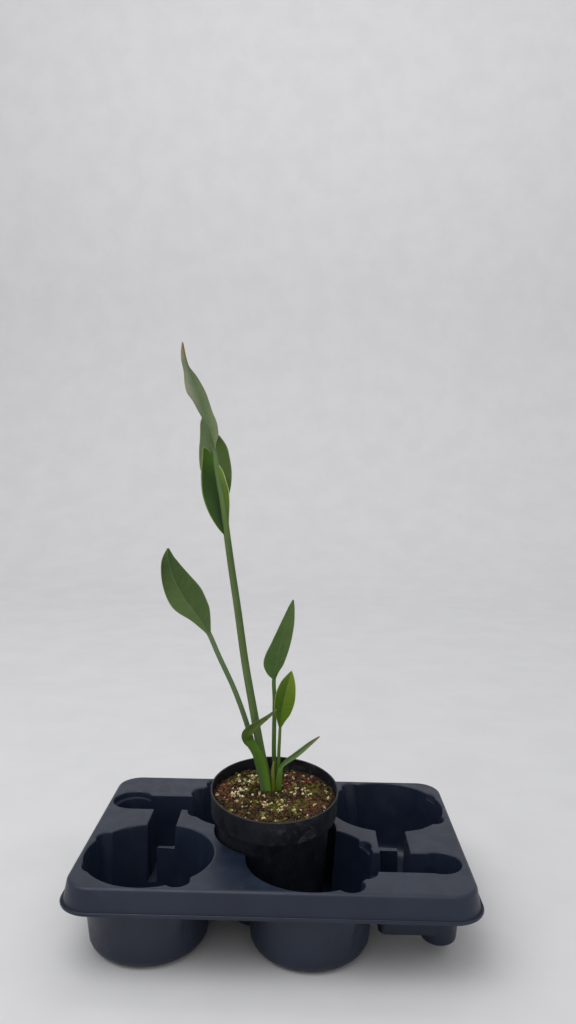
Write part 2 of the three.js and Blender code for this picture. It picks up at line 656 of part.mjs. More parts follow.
// The half section from the midrib outwards: offsets along the blade's side and face
// directions, the direction of the upper face there, and the thickness on either side.
function halfSection(side, width, ribWidth, upper, lower, fold, curl, outerSteps) {
  const places = [0, 0.6 * ribWidth, ribWidth];
  for (let k = 1; k <= outerSteps; k += 1) {
    places.push(ribWidth + (width - ribWidth) * k / outerSteps);
  }
  const angleAt = (d) => radians(fold + curl * (d / width) ** 1.6);
  const margin = bladeThickness / 2;
  let across = 0;
  let out = 0;
  return places.map((d, k) => {
    if (k > 0) {
      const middle = angleAt((d + places[k - 1]) / 2);
      across += side * Math.cos(middle) * (d - places[k - 1]);
      out += Math.sin(middle) * (d - places[k - 1]);
    }
    const angle = k === 0 ? 0 : angleAt(d);
    const round = Math.sqrt(Math.max(0, 1 - (d / ribWidth) ** 2));
    return {
      across,
      out,
      faceAcross: -side * Math.sin(angle),
      faceOut: Math.cos(angle),
      upper: margin + Math.max(0, upper - margin) * round,
      lower: margin + Math.max(0, lower - margin) * round,
    };
  });
}

// One lobe of a split blade: rings from the midrib to the drawn margin, as one thin body.
function lobeBody({ side, from, to, rings, bow, margin }, route, bladeStart) {
  const edge = new THREE.CatmullRomCurve3(margin.map(vector), false, "centripetal");
  const pointAt = (place, reach) => {
    const inside = Math.min(Math.max(place, 0), 1);
    const at = bladeStart + (1 - bladeStart) * (from + (to - from) * inside);
    const start = route.getPoint(at);
    const chord = edge.getPoint(inside).sub(start);
    const out = chord.clone().cross(route.getTangent(at)).setLength(side);
    const bulge = profile(bow, inside) * 4 * reach * (1 - reach);
    return start.addScaledVector(chord, reach).addScaledVector(out, bulge);
  };
  const step = 0.004;
  const faceAt = (place, reach) => {
    const near = Math.max(reach - step, 0);
    const wide = pointAt(place, Math.min(reach + step, 1)).sub(pointAt(place, near));
    const low = Math.max(place - step, 0);
    const long = pointAt(Math.min(place + step, 1), reach).sub(pointAt(low, reach));
    return wide.cross(long).setLength(side);
  };
  const across = 4;
  const bodyRings = [];
  for (let k = 0; k <= rings; k += 1) {
    const ring = { upper: [], lower: [] };
    for (let j = 0; j <= across; j += 1) {
      const face = faceAt(k / rings, j / across);
      const point = pointAt(k / rings, j / across);
      ring.upper.push(point.clone().addScaledVector(face, bladeThickness / 2));
      ring.lower.push(point.addScaledVector(face, -bladeThickness / 2));
    }
    bodyRings.push(ring);
  }
  return toSolid(leafBody(bodyRings));
}

function leafRing(centre, along, roll, left, right) {
  const side = new THREE.Vector3(0, 1, 0).cross(along).normalize();
  side.applyAxisAngle(along, radians(roll));
  const face = side.clone().cross(along);
  const section = [...left.slice(1).reverse(), ...right];
  const place = (s, lift) => centre.clone()
    .addScaledVector(side, s.across + lift * s.faceAcross)
    .addScaledVector(face, s.out + lift * s.faceOut);
  return {
    upper: section.map((s) => place(s, s.upper)),
    lower: section.map((s) => place(s, -s.lower)),
  };
}

// A thin closed body through the rings, split into triangles alike on both faces.
function leafBody(rings) {
  const count = rings[0].upper.length;
  const points = rings.flatMap((ring) => [...ring.upper, ...ring.lower]);
  const triangles = [];
  const quad = (a, b, c, d) => triangles.push([a, b, c], [a, c, d]);
  const up = (i, j) => 2 * count * i + j;
  const low = (i, j) => 2 * count * i + count + j;
  const last = rings.length - 1;
  for (let i = 0; i < last; i += 1) {
    for (let j = 0; j + 1 < count; j += 1) {
      quad(up(i, j), up(i, j + 1), up(i + 1, j + 1), up(i + 1, j));
      triangles.push([low(i, j), low(i + 1, j + 1), low(i, j + 1)]);
      triangles.push([low(i, j), low(i + 1, j), low(i + 1, j + 1)]);
    }
    quad(low(i, 0), up(i, 0), up(i + 1, 0), low(i + 1, 0));
    const j = count - 1;
    quad(up(i, j), low(i, j), low(i + 1, j), up(i + 1, j));
  }
  for (let j = 0; j + 1 < count; j += 1) {
    quad(low(0, j), low(0, j + 1), up(0, j + 1), up(0, j));
    quad(up(last, j), up(last, j + 1), low(last, j + 1), low(last, j));
  }
  return triangleGeometry(points, triangles);
}

function leafRoute(leaf) {
  const foot = vector(leaf.stalk[0]);
  const drop = (foot.z - stalkFootLevel) / plantUp.z;
  const start = foot.clone().addScaledVector(plantUp, -drop);
  const points = [start, ...leaf.stalk.map(vector), ...leaf.blade.map(vector)];
  return new THREE.CatmullRomCurve3(points, false, "centripetal");
}

function stalkSection(leaf, share, side, grow) {
  const halfWidth = profile(leaf.stalkWidth, share) + grow;
  const depth = profile(leaf.stalkDepth, share) + grow;
  const wing = halfWidth * 1.12;
  return halfSection(side, wing, halfWidth, 0.75 * depth, depth, 0, 0, leaf.outerSteps);
}

function makeLeaf(leaf) {
  const route = leafRoute(leaf);
  const bladeStart = leaf.stalk.length / (leaf.stalk.length + leaf.blade.length);
  const rings = [];
  for (let k = 0; k < leaf.stalkRings; k += 1) {
    const share = k / leaf.stalkRings;
    const at = bladeStart * share;
    const left = stalkSection(leaf, share, -1, 0);
    const right = stalkSection(leaf, share, 1, 0);
    rings.push(leafRing(route.getPoint(at), route.getTangent(at), 0, left, right));
  }
  for (let k = 0; k <= leaf.bladeRings; k += 1) {
    const share = k / leaf.bladeRings;
    const at = bladeStart + (1 - bladeStart) * share;
    const ribWidth = profile(leaf.ribWidth, share);
    const ribDepth = profile(leaf.ribDepth, share);
    const half = (side, width, fold, curl) => halfSection(
      side, Math.max(profile(width, share), ribWidth * 1.12), ribWidth,
      (leaf.ribFront ?? 0.3) * ribDepth, ribDepth,
      profile(fold, share), profile(curl, share), leaf.outerSteps,
    );
    const left = half(-1, leaf.leftWidth, leaf.leftFold, leaf.leftCurl);
    const right = half(1, leaf.rightWidth, leaf.rightFold, leaf.rightCurl);
    const roll = profile(leaf.roll, share);
    rings.push(leafRing(route.getPoint(at), route.getTangent(at), roll, left, right));
  }
  const whole = leafBody(rings);
  if (!leaf.lobes) return part(leaf.name, whole, leaf.colour, 0.5);
  const lobes = leaf.lobes.map((lobe) => lobeBody(lobe, route, bladeStart));
  return part(leaf.name, toGeometry(joined([toSolid(whole), ...lobes])), leaf.colour, 0.5);
}

// The plain hole that a stalk stands in: its own section, widened, from foot to open air.
function stalkHole(leaf) {
  const route = leafRoute(leaf);
  const holeTop = 12;
  const start = route.getPoint(0).addScaledVector(plantUp, -2 * fitGap);
  const foot = vector(leaf.stalk[0]);
  const next = vector(leaf.stalk[1]);
  const out = next.clone().sub(foot).setLength(holeTop).add(foot);
  const rings = [[start, plantUp], [foot, plantUp], [out, plantUp]].map(([centre, along]) =>
    leafRing(
      centre, along, 0, stalkSection(leaf, 0, -1, 2 * fitGap), stalkSection(leaf, 0, 1, 2 * fitGap),
    ));
  return toSolid(leafBody(rings));
}

// ---------------------------------------------------------------- the whole object

const object = new THREE.Group();
object.add(makeTray());
object.add(makePot());
object.add(makeSoil([crownSolid(fitGap), ...leaves.map(stalkHole)]));
object.add(part("root_crown", toGeometry(crownSolid(0)), 0xc9b48a, 0.8));
for (const leaf of leaves) {
  object.add(makeLeaf(leaf));
}

export default object;
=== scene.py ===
# A potted bird of paradise in its nursery pot, standing in a moulded carry tray.
# Shapes are worked out in millimetres, +Z up, and brought to metres as each piece is finished.
import random
from math import cos, exp, hypot, pi, radians, sin, sqrt, tau

import bmesh
import bpy
from mathutils import Matrix, Vector, noise


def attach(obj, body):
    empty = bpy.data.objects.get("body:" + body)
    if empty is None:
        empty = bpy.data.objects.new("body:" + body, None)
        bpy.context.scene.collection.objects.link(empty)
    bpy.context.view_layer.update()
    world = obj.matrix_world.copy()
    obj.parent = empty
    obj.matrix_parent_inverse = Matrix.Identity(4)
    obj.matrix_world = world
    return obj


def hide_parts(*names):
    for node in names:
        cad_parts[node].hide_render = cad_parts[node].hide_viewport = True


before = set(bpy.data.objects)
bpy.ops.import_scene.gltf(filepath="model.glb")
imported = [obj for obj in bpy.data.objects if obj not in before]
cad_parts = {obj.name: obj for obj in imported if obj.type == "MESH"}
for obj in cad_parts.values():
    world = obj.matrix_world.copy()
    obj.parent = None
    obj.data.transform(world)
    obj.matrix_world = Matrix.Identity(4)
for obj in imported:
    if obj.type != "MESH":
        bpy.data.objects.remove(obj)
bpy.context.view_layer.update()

METRES = 0.001
SAME_POINT = 1e-4  # points closer together than this become one
scene = bpy.context.scene


def rotation(degrees, axis):
    return Matrix.Rotation(radians(degrees), 4, axis)


# ---- the camera

def set_camera():
    lens = bpy.data.cameras.new("eye_level")
    lens.sensor_fit = "VERTICAL"
    lens.sensor_height = 36
    lens.lens = 28.125
    camera = bpy.data.objects.new("eye_level", lens)
    scene.collection.objects.link(camera)
    heading, pitch, roll = 1.10416, -3.614, 0.793
    turn = rotation(heading, "Z") @ rotation(90 + pitch, "X") @ rotation(roll, "Z")
    camera.matrix_world = Matrix.Translation((0.02503, -0.84045, 0.48134)) @ turn
    scene.camera = camera


set_camera()


# ---- driving dimensions

FIT_GAP = 0.35

TRAY_LENGTH = 388
TRAY_DEPTH = 262
TRAY_HEIGHT = 86.7
TRAY_WALL = 2.2
TRAY_FLOOR = 2.5
TRAY_CORNER = 26
DECK_ROUND = 4
SKIRT_DROP = 21
MOUTH_ROUND = 1.9  # how far the deck's edge rolls over into each well
PAST_DECK = 1  # how far a hollow's form passes the deck, and a wall's form stays below it

# Round wells: radius at the mouth and at the foot, bottom, and the foot's rounding.
OUTER_POCKET = (65, 56, 2.5, 13)
MIDDLE_POCKET = (65.5, 61, 10, 8)
# Finger flutes by their pocket's middle: place from it, radius at the top and at the foot, lowest
# point, how far the foot draws in towards the middle, and ledge width.
FLUTES = {
    (-124.5, -62): [
        (35.5, -50, 12.5, 8, 12, 0.26, 0), (-49.5, 31.5, 12.5, 9, 30, 0.12, 0),
        (-45.5, -24, 16, 12, 30, 0.12, 3), (-25.5, 45, 14, 9, 40, 0.1, 0),
    ],
    (37.5, -63): [
        (37.5, -51, 13, 8, 12, 0.26, 0), (50.5, -24, 15, 8, 12, 0.22, 0),
        (49, 26, 14, 9, 20, 0.15, 3.5),
    ],
}
LEDGE_HEIGHT = 79
# Slots: left, right, front, back, bottom, corner radius and taper.
SLOTS = [
    (-168, -105, 40, 77.5, 25, 6, 3), (-118, -92, 40, 77.5, 62, 4, 1),
    (-139, -108, 3, 48, 25, 4, 3), (-139, -127, -12, 14, 25, 4, 1), (-131, -108, -12, 14, 61, 4, 1),
    (104, 168, -87.5, -49, 25, 6, 3), (92, 118, -87.5, -49, 62, 4, 1),
    (108, 139, -55, -6, 25, 4, 3), (131, 139, -17, 12, 25, 3, 0.5), (108, 135, -17, 12, 67, 4, 1),
]
SLOT_WELLS = [(-165, 61.5, (21.5, 15, 12, 5)), (-167, 63.5, (23, 22.4, LEDGE_HEIGHT, 0.8)),
              (165.5, -68, (21.5, 15, 12, 5))]

POT_HEIGHT = 119.7
POT_WALL = 1.5
POT_FLOOR = 3.2
RIM_RADIUS = 67.7
COLLAR_HEIGHT = 26
COLLAR_RADIUS = 66.7
BODY_RADIUS = 59.6
FOOT_RADIUS = 55.3
DRAIN_HOLES, DRAIN_RING, DRAIN_RADIUS = 6, 42, 4
POT_LEAN_FRONT = 7
POT_LEAN_RIGHT = 1.1
FOOT_RISE = FOOT_RADIUS * sin(radians(POT_LEAN_FRONT))
POT_FOOT = (-3.4, 3.4, MIDDLE_POCKET[2] + FIT_GAP + FOOT_RISE)
COLLAR_FOOT = POT_HEIGHT - COLLAR_HEIGHT

SOIL_LEVEL = POT_HEIGHT - 9
SOIL_STEP = COLLAR_FOOT + 2.75  # where the soil widens from the pot's body to its collar
SOIL_GAP = POT_WALL + FIT_GAP
STALK_FOOT_LEVEL = 112

pot_turn = rotation(POT_LEAN_FRONT, "X") @ rotation(POT_LEAN_RIGHT, "Y")
pot_place = Matrix.Translation(POT_FOOT) @ pot_turn
plant_up = (pot_turn @ Vector((0, 0, 1))).normalized()


# ---- making pieces

def to_object(name, bm, material):
    bmesh.ops.scale(bm, vec=[METRES] * 3, verts=bm.verts)
    mesh = bpy.data.meshes.new(name)
    bm.to_mesh(mesh)
    bm.free()
    mesh.materials.append(material)
    piece = bpy.data.objects.new(name, mesh)
    scene.collection.objects.link(piece)
    return piece


def carve(piece, forms):
    """Work forms into the piece, each an operation and a body."""
    bodies = [to_object("form", bm, piece.data.materials[0]) for _, bm in forms]
    for (operation, _), body in zip(forms, bodies):
        step = piece.modifiers.new("form", "BOOLEAN")
        step.operation = operation
        step.object = body
        step.solver = "MANIFOLD"
    bpy.context.view_layer.update()
    worked = piece.evaluated_get(bpy.context.evaluated_depsgraph_get())
    made = bpy.data.meshes.new_from_object(worked)
    piece.modifiers.clear()
    piece.data = made
    for body in bodies:
        bpy.data.objects.remove(body)
    return piece


def shade(piece, sharp_over=None):
    mesh = piece.data
    mesh.polygons.foreach_set("use_smooth", [True] * len(mesh.polygons))
    if sharp_over is not None:
        mesh.set_sharp_from_angle(angle=radians(sharp_over))
    mesh.update()
    return piece


def shade_moulding(piece, sharp_over):
    """Smooth shading that leaves the flat faces of a moulding flat."""
    shade(piece, sharp_over).modifiers.new("even_shade", "WEIGHTED_NORMAL").keep_sharp = True
    return piece


def settle(piece, node=None):
    """The piece belongs to the one body, and stands for a node."""
    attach(piece, "root")
    if node:
        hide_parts(node)


def joined(bm, close_ends=False):
    """Points that meet join, open ends close if wanted, and faces turn outwards."""
    bmesh.ops.remove_doubles(bm, verts=bm.verts, dist=SAME_POINT)
    if close_ends:
        bmesh.ops.holes_fill(bm, edges=[e for e in bm.edges if e.is_boundary], sides=0)
    bmesh.ops.recalc_face_normals(bm, faces=bm.faces)
    return bm


def skinned(rows, close_ends=True):
    """A grid laid over rows of points. Rows that return to their first point become a tube."""
    bm = bmesh.new()
    bmesh.ops.create_grid(bm, x_segments=len(rows[0]) - 1, y_segments=len(rows) - 1, size=1)
    for vert, point in zip(bm.verts, (p for row in rows for p in row)):
        vert.co = point
    return joined(bm, close_ends)


def turned(outline, steps):
    """A body of revolution about Z through radius and height pairs that start and end on it."""
    bm = bmesh.new()
    verts = [bm.verts.new((r, 0, z)) for r, z in outline]
    edges = [bm.edges.new(pair) for pair in zip(verts, verts[1:])]
    bmesh.ops.spin(
        bm, geom=verts + edges, cent=(0, 0, 0), axis=(0, 0, 1), angle=tau, steps=steps,
        use_merge=True, use_duplicate=False,
    )
    return joined(bm)


def cone(bm, sides, foot, tip, length):
    return bmesh.ops.create_cone(
        bm, cap_ends=True, segments=sides, radius1=foot, radius2=tip, depth=length)["verts"]


def quarter_turn(steps):
    """The sine and cosine at each step of a quarter turn."""
    angles = [pi / 2 * k / steps for k in range(steps + 1)]
    return [(sin(a), cos(a)) for a in angles]


def circle(x, y, z, radius, sides):
    angles = [tau * k / sides for k in range(sides)]
    ring = [Vector((x + radius * cos(a), y + radius * sin(a), z)) for a in angles]
    return ring + ring[:1]


def rounded_rectangle(x, y, z, half_x, half_y, radius, per_corner):
    ring = []
    for quarter, (sx, sy) in enumerate([(1, 1), (-1, 1), (-1, -1), (1, -1)]):
        for k in range(per_corner + 1):
            angle = (quarter + k / per_corner) * pi / 2
            ring.append(Vector((x + sx * (half_x - radius) + radius * cos(angle),
                                y + sy * (half_y - radius) + radius * sin(angle), z)))
    return ring + ring[:1]


def profile(pairs, place):
    """A smooth curve of values through (place, value) pairs."""
    places, values = zip(*pairs)
    last = len(pairs) - 1
    if not places[0] < place < places[last]:
        return values[0 if place <= places[0] else last]
    i = next(k for k, at in enumerate(places) if at > place) - 1

    def slope(k):
        before, after = max(k - 1, 0), min(k + 1, last)
        return (values[after] - values[before]) / (places[after] - places[before])

    span = places[i + 1] - places[i]
    f = (place - places[i]) / span
    g = 1 - f
    ends = values[i] * g * g * (1 + 2 * f) + values[i + 1] * f * f * (3 - 2 * f)
    return ends + span * f * g * (slope(i) * g - slope(i + 1) * f)


def eased(low, high, value):
    share = min(max((value - low) / (high - low), 0), 1)
    return share * share * (3 - 2 * share)


# ---- making materials

class Finish:
    """A material with one shader, and short words for the nodes that feed it."""

    def __init__(self, name):
        self.material = bpy.data.materials.new(name)
        self.material.use_nodes = True
        self.tree = self.material.node_tree
        self.shader = next(n for n in self.tree.nodes if n.type == "BSDF_PRINCIPLED")

    def put(self, target, value):
        if isinstance(value, bpy.types.NodeSocket):
            self.tree.links.new(value, target)
        elif isinstance(value, tuple) and len(value) == 3 and len(target.default_value) == 4:
            target.default_value = (*value, 1)
        else:
            target.default_value = value

    def made(self, kind, inputs, output=0, **settings):
        """An output of a new node."""
        node = self.tree.nodes.new(kind)
        for key in settings:
            setattr(node, key, settings[key])
        for key, value in inputs.items():
            self.put(node.inputs[key], value)
        return node.outputs[output]

    def set(self, **values):
        for key, value in values.items():
            self.put(self.shader.inputs[key.replace("_", " ")], value)
        return self.material

    def reckon(self, operation, a, b=0.0, c=0.0):
        return self.made("ShaderNodeMath", {0: a, 1: b, 2: c}, operation=operation)

    def times(self, product, *factors):
        for factor in factors:
            product = self.reckon("MULTIPLY", product, factor)
        return product

    def line(self, value, slope, start):
        return self.reckon("MULTIPLY_ADD", value, slope, start)

    def spread(self, value, low, high, to_low=0.0, to_high=1.0):
        inputs = {0: value, 1: low, 2: high, 3: to_low, 4: to_high}
        return self.made("ShaderNodeMapRange", inputs, interpolation_type="SMOOTHSTEP")

    def mix(self, share, a, b, blend="MIX"):
        inputs = {0: share, 6: a, 7: b}
        return self.made("ShaderNodeMix", inputs, 2, data_type="RGBA", blend_type=blend)

    def place(self):
        return self.made("ShaderNodeTexCoord", {}, "Object")

    def point(self, x, y, z=0.0):
        return self.made("ShaderNodeCombineXYZ", {0: x, 1: y, 2: z})

    def parts(self, point):
        return self.made("ShaderNodeSeparateXYZ", {0: point}, slice(None))

    def grain(self, scale, detail=4.0, roughness=0.6, place=None, distortion=0.0):
        return self.made("ShaderNodeTexNoise", {
            "Vector": place or self.place(), "Scale": scale, "Detail": detail,
            "Roughness": roughness, "Distortion": distortion,
        }, "Fac")

    def relief(self, height, distance, strength=1.0, under=None):
        inputs = {"Height": height, "Distance": distance, "Strength": strength}
        if under is not None:
            inputs["Normal"] = under
        return self.made("ShaderNodeBump", inputs)


def colour(red, green, blue):
    """A colour given as the eye sees it, 0 to 255, turned to the light it reflects."""
    def linear(part):
        part /= 255
        return part / 12.92 if part <= 0.04045 else ((part + 0.055) / 1.055) ** 2.4
    return (linear(red), linear(green), linear(blue))


def tray_plastic():
    f = Finish("tray_plastic")
    dust = f.grain(60, 5, 0.7)
    base = f.mix(f.spread(f.grain(14, 3), 0.35, 0.65), colour(18, 27, 45), colour(24, 34, 53))
    base = f.mix(f.spread(dust, 0.55, 0.82, 0, 0.14), base, colour(70, 80, 94))
    return f.set(Base_Color=base, Roughness=f.spread(dust, 0.3, 0.7, 0.36, 0.5),
                 Specular_IOR_Level=0.44, Normal=f.relief(f.grain(900, 2), 0.0001, 0.25))


def pot_plastic():
    f = Finish("pot_plastic")
    scuff = f.grain(90, 6, 0.75, distortion=0.6)
    base = f.mix(f.spread(f.grain(20, 3), 0.3, 0.7), colour(12, 15, 23), colour(17, 21, 31))
    # Dried splashes gather on the collar's front, right of the middle.
    x, _, z = f.parts(f.place())
    splash = f.times(f.spread(x, -0.01, 0.012), f.spread(x, 0.05, 0.03), f.spread(z, 0.096, 0.106))
    marks = f.spread(f.line(splash, 0.14, scuff), 0.6, 0.76, 0, 0.36)
    base = f.mix(marks, base, colour(86, 88, 84))
    return f.set(Base_Color=base, Roughness=f.spread(scuff, 0.3, 0.7, 0.38, 0.62),
                 Normal=f.relief(f.grain(700, 2), 0.0001, 0.3))


def potting_mix():
    f = Finish("potting_mix")
    clods = f.grain(150, 6, 0.7)
    strands = f.grain(560, 4, 0.7)
    patch = f.grain(42, 3, 0.6)
    base = f.mix(f.spread(clods, 0.35, 0.65), colour(26, 20, 13), colour(64, 48, 31))
    base = f.mix(f.spread(patch, 0.5, 0.66, 0, 0.55), base, colour(56, 56, 24))
    base = f.mix(f.spread(strands, 0.6, 0.78, 0, 0.45), base, colour(96, 76, 50))
    return f.set(Base_Color=base, Roughness=0.95, Specular_IOR_Level=0.15,
                 Normal=f.relief(strands, 0.0012, 0.9, f.relief(clods, 0.002, 0.8)))


def crumb_finish(name, dark, light, scale, roughness=0.9):
    """Loose bits whose tone changes from one to the next and over each one."""
    f = Finish(name)
    fine = f.grain(900, 3, 0.7)
    base = f.mix(f.spread(f.grain(scale, 2, 0.5), 0.35, 0.65), colour(*dark), colour(*light))
    base = f.mix(f.spread(fine, 0.5, 0.8, 0, 0.4), base, colour(*(part * 0.55 for part in dark)))
    return f.set(Base_Color=base, Roughness=roughness, Specular_IOR_Level=0.25,
                 Normal=f.relief(fine, 0.0005, 0.7))


def fleshy_root():
    f = Finish("fleshy_root")
    rings = f.grain(260, 4, 0.6)
    base = f.mix(f.spread(rings, 0.3, 0.7), colour(178, 152, 104), colour(212, 194, 152))
    return f.set(Base_Color=base, Roughness=0.7, Normal=f.relief(rings, 0.0006, 0.6))


STALK_SHARE = 0.4  # of the leaf's map, from its foot up; the blade has the rest
VEIN_STEP = 1.3


def leaf_finish(name, length, half_width, rib=None, margin=None, spots=None):
    """Leaf green over the leaf's own tones: u runs round the blade, v up the stalk and the blade.

    Midrib, margin and spots are each an amount and a colour.
    """
    f = Finish(name)
    tone = f.made("ShaderNodeAttribute", {}, "Color", attribute_name="tone")
    u, v, _ = f.parts(f.made("ShaderNodeUVMap", {}, uv_map="leaf"))
    across = f.line(f.reckon("ABSOLUTE", f.line(u, -2.0, 1.0)), -1.0, 1.0)
    reach = f.reckon("ABSOLUTE", f.line(across, 2.0, -1.0))
    is_under = f.reckon("GREATER_THAN", u, 0.5)
    is_right = f.reckon("GREATER_THAN", across, 0.5)
    share = f.line(v, 1 / (1 - STALK_SHARE), -STALK_SHARE / (1 - STALK_SHARE))
    blade = f.spread(v, 0.395, 0.43)
    # Veins leave the midrib at a slant: each is a line of equal lift.
    lift = f.reckon("SUBTRACT", f.times(share, length), f.times(reach, 0.5 * half_width))
    quarter = f.times(f.reckon("ADD", is_under, is_right), 7.3)
    streak = f.grain(1.0, 3, 0.7, f.point(f.times(lift, 0.6), f.times(reach, 1.3), quarter))
    veins = f.reckon("SINE", f.times(lift, tau / VEIN_STEP))
    # The stalk has long fine lines.
    lines = f.grain(1.0, 3, 0.6, f.point(f.times(u, 60.0), f.times(v, 9.0)))
    fine = f.grain(420, 3)

    texture = f.spread(f.mix(blade, lines, streak), 0.25, 0.75)
    shading = f.mix(texture, (0.84, 0.85, 0.84), (1.16, 1.14, 1.12))
    base = f.mix(1.0, tone, shading, "MULTIPLY")
    clouds = f.mix(f.spread(f.grain(45, 4), 0.3, 0.7), (0.92, 0.93, 0.9), (1.08, 1.06, 1.06))
    base = f.mix(1.0, base, clouds, "MULTIPLY")
    at_spots = f.spread(f.grain(230, 3, 0.7), 0.57, 0.66)
    at_rib = f.spread(reach, f.line(share, -0.07, 0.11), 0.03)
    at_margin = f.spread(reach, 0.955, 0.985)
    for where, mark in ((at_spots, spots), (at_rib, rib), (at_margin, margin)):
        if mark:
            base = f.mix(f.times(blade, where, mark[0]), base, colour(*mark[1]))
    roughness = f.line(is_under, 0.12, f.spread(fine, 0.3, 0.7, 0.42, 0.52))
    ridges = f.times(f.line(veins, 0.35, streak), blade)
    grooves = f.times(lines, 0.8, f.line(blade, -1.0, 1.0))
    height = f.reckon("ADD", ridges, grooves)
    return f.set(Base_Color=base, Roughness=roughness, Specular_IOR_Level=0.22,
                 Normal=f.relief(height, 0.0003, 0.45, f.relief(fine, 0.0001, 0.3)))


# ---- the tray

# Height and growth of each row where the deck rolls over into a well.
MOUTH_ROLL = [(TRAY_HEIGHT - MOUTH_ROUND * (1 - sine), MOUTH_ROUND * (1 - cosine))
              for sine, cosine in quarter_turn(4)]


def well_outline(shape, wall):
    """Radius and height pairs of a round well: its hollow, or with a wall added, its skin."""
    mouth, foot, bottom, low_round = shape
    slope = (mouth - foot) / (TRAY_HEIGHT - bottom)
    low = bottom - (TRAY_FLOOR if wall else 0)

    def radius(z):
        return foot + slope * (z - bottom) + wall

    pairs = [(0, low)]
    pairs += [(radius(bottom) - low_round + (low_round + slope * low_round) * sine,
               low + low_round * (1 - cosine)) for sine, cosine in quarter_turn(6)]
    if wall:
        top = TRAY_HEIGHT - PAST_DECK
        return pairs + [(radius(top), top), (0, top)]
    top = TRAY_HEIGHT + PAST_DECK
    pairs += [(radius(TRAY_HEIGHT - MOUTH_ROUND) + grow, z) for z, grow in MOUTH_ROLL]
    return pairs + [(pairs[-1][0], top), (0, top)]


def rolled_rows(row_at, lows, wall):
    """Rows up a well whose wall rolls over at the deck; row_at takes a height and a growth."""
    if wall:
        return [row_at(z, wall) for z in (*lows, TRAY_HEIGHT - PAST_DECK)]
    rows = [row_at(z, 0) for z in lows] + [row_at(*step) for step in MOUTH_ROLL]
    return rows + [[Vector((p.x, p.y, TRAY_HEIGHT + PAST_DECK)) for p in rows[-1]]]


def flute(turn, wall, by_x, by_y, x, y, radius, foot, bottom, pull, ledge):
    low = bottom - wall
    step = LEDGE_HEIGHT - wall
    sizes = [(low, foot), (TRAY_HEIGHT, radius)]
    if ledge:
        sizes[1:1] = [(step - 1, radius - ledge - 0.5), (step - 0.2, radius - ledge),
                      (step, radius - 0.9), (step + 0.6, radius - 0.5)]

    def row(z, grow):
        reach = 1 - pull * (TRAY_HEIGHT - z) / (TRAY_HEIGHT - low)
        k = next((k for k in range(1, len(sizes)) if z <= sizes[k][0] + 1e-6), len(sizes) - 1)
        (z0, r0), (z1, r1) = sizes[k - 1], sizes[k]
        size = r0 + (r1 - r0) * (z - z0) / (z1 - z0) + grow
        return circle(turn * (by_x + x * reach), turn * (by_y + y * reach), z, size, 36)

    return skinned(rolled_rows(row, [z for z, _ in sizes[:-1]], wall))


def slot(wall, left, right, front, back, bottom, corner, taper):
    low = bottom - wall

    def row(z, grow):
        inset = taper * (1 - (z - low) / (TRAY_HEIGHT - low)) - grow
        return rounded_rectangle(
            (left + right) / 2, (front + back) / 2, z,
            (right - left) / 2 - inset, (back - front) / 2 - inset, corner + grow, 6)

    return skinned(rolled_rows(row, [low], wall))


def round_well(x, y, shape, sides, wall):
    bm = turned(well_outline(shape, wall), sides)
    bmesh.ops.translate(bm, vec=(x, y, 0), verts=bm.verts)
    return bm


def well_bodies(wall):
    """Every well. The back pockets are the front ones, turned half round."""
    bodies = [round_well(0, 0, MIDDLE_POCKET, 84, wall)]
    for turn in (1, -1):
        for x, y in FLUTES:
            bodies.append(round_well(turn * x, turn * y, OUTER_POCKET, 84, wall))
        bodies += [flute(turn, wall, *pocket, *sizes)
                   for pocket, flutes in FLUTES.items() for sizes in flutes]
    bodies += [slot(wall, *sizes) for sizes in SLOTS]
    bodies += [round_well(x, y, shape, 48, wall) for x, y, shape in SLOT_WELLS]
    return bodies


def tray_deck():
    """The tray's outer skin with its lip, and the hollow under it."""
    lip_top = TRAY_HEIGHT - SKIRT_DROP
    edge = TRAY_HEIGHT - DECK_ROUND
    outside = [(lip_top + z, out) for z, out in (
        (-2.6, 6.2), (-2.4, 6.7), (-1.7, 7), (-0.9, 7), (-0.2, 6.6), (0, 6.1), (-0.3, 5.3),
        (-0.6, 4.5), (-0.2, 4.1), (0.6, 3.95))]
    outside += [(edge + DECK_ROUND * sine, 0.6 - DECK_ROUND * (1 - cosine))
                for sine, cosine in quarter_turn(6)]
    inside = [(lip_top - 3.6, 1.8), (lip_top, 1.8), (TRAY_HEIGHT - TRAY_WALL, -2.6)]

    def skin(pairs):
        return skinned([rounded_rectangle(
            0, 0, z, TRAY_LENGTH / 2 + out, TRAY_DEPTH / 2 + out, TRAY_CORNER + out, 14)
            for z, out in pairs])

    return skin(outside), skin(inside)


def make_tray(material):
    outside, inside = tray_deck()
    forms = [("DIFFERENCE", inside)]
    forms += [("UNION", skin) for skin in well_bodies(TRAY_WALL)]
    forms += [("DIFFERENCE", hollow) for hollow in well_bodies(0)]
    tray = carve(to_object("tray_shell", outside, material), forms)
    settle(shade_moulding(tray, 34), "tray")


# ---- the pot and its soil

def body_radius(z):
    return FOOT_RADIUS + (BODY_RADIUS - FOOT_RADIUS) * z / COLLAR_FOOT


def collar_radius(z):
    return COLLAR_RADIUS + (RIM_RADIUS - COLLAR_RADIUS) * (z - COLLAR_FOOT) / COLLAR_HEIGHT


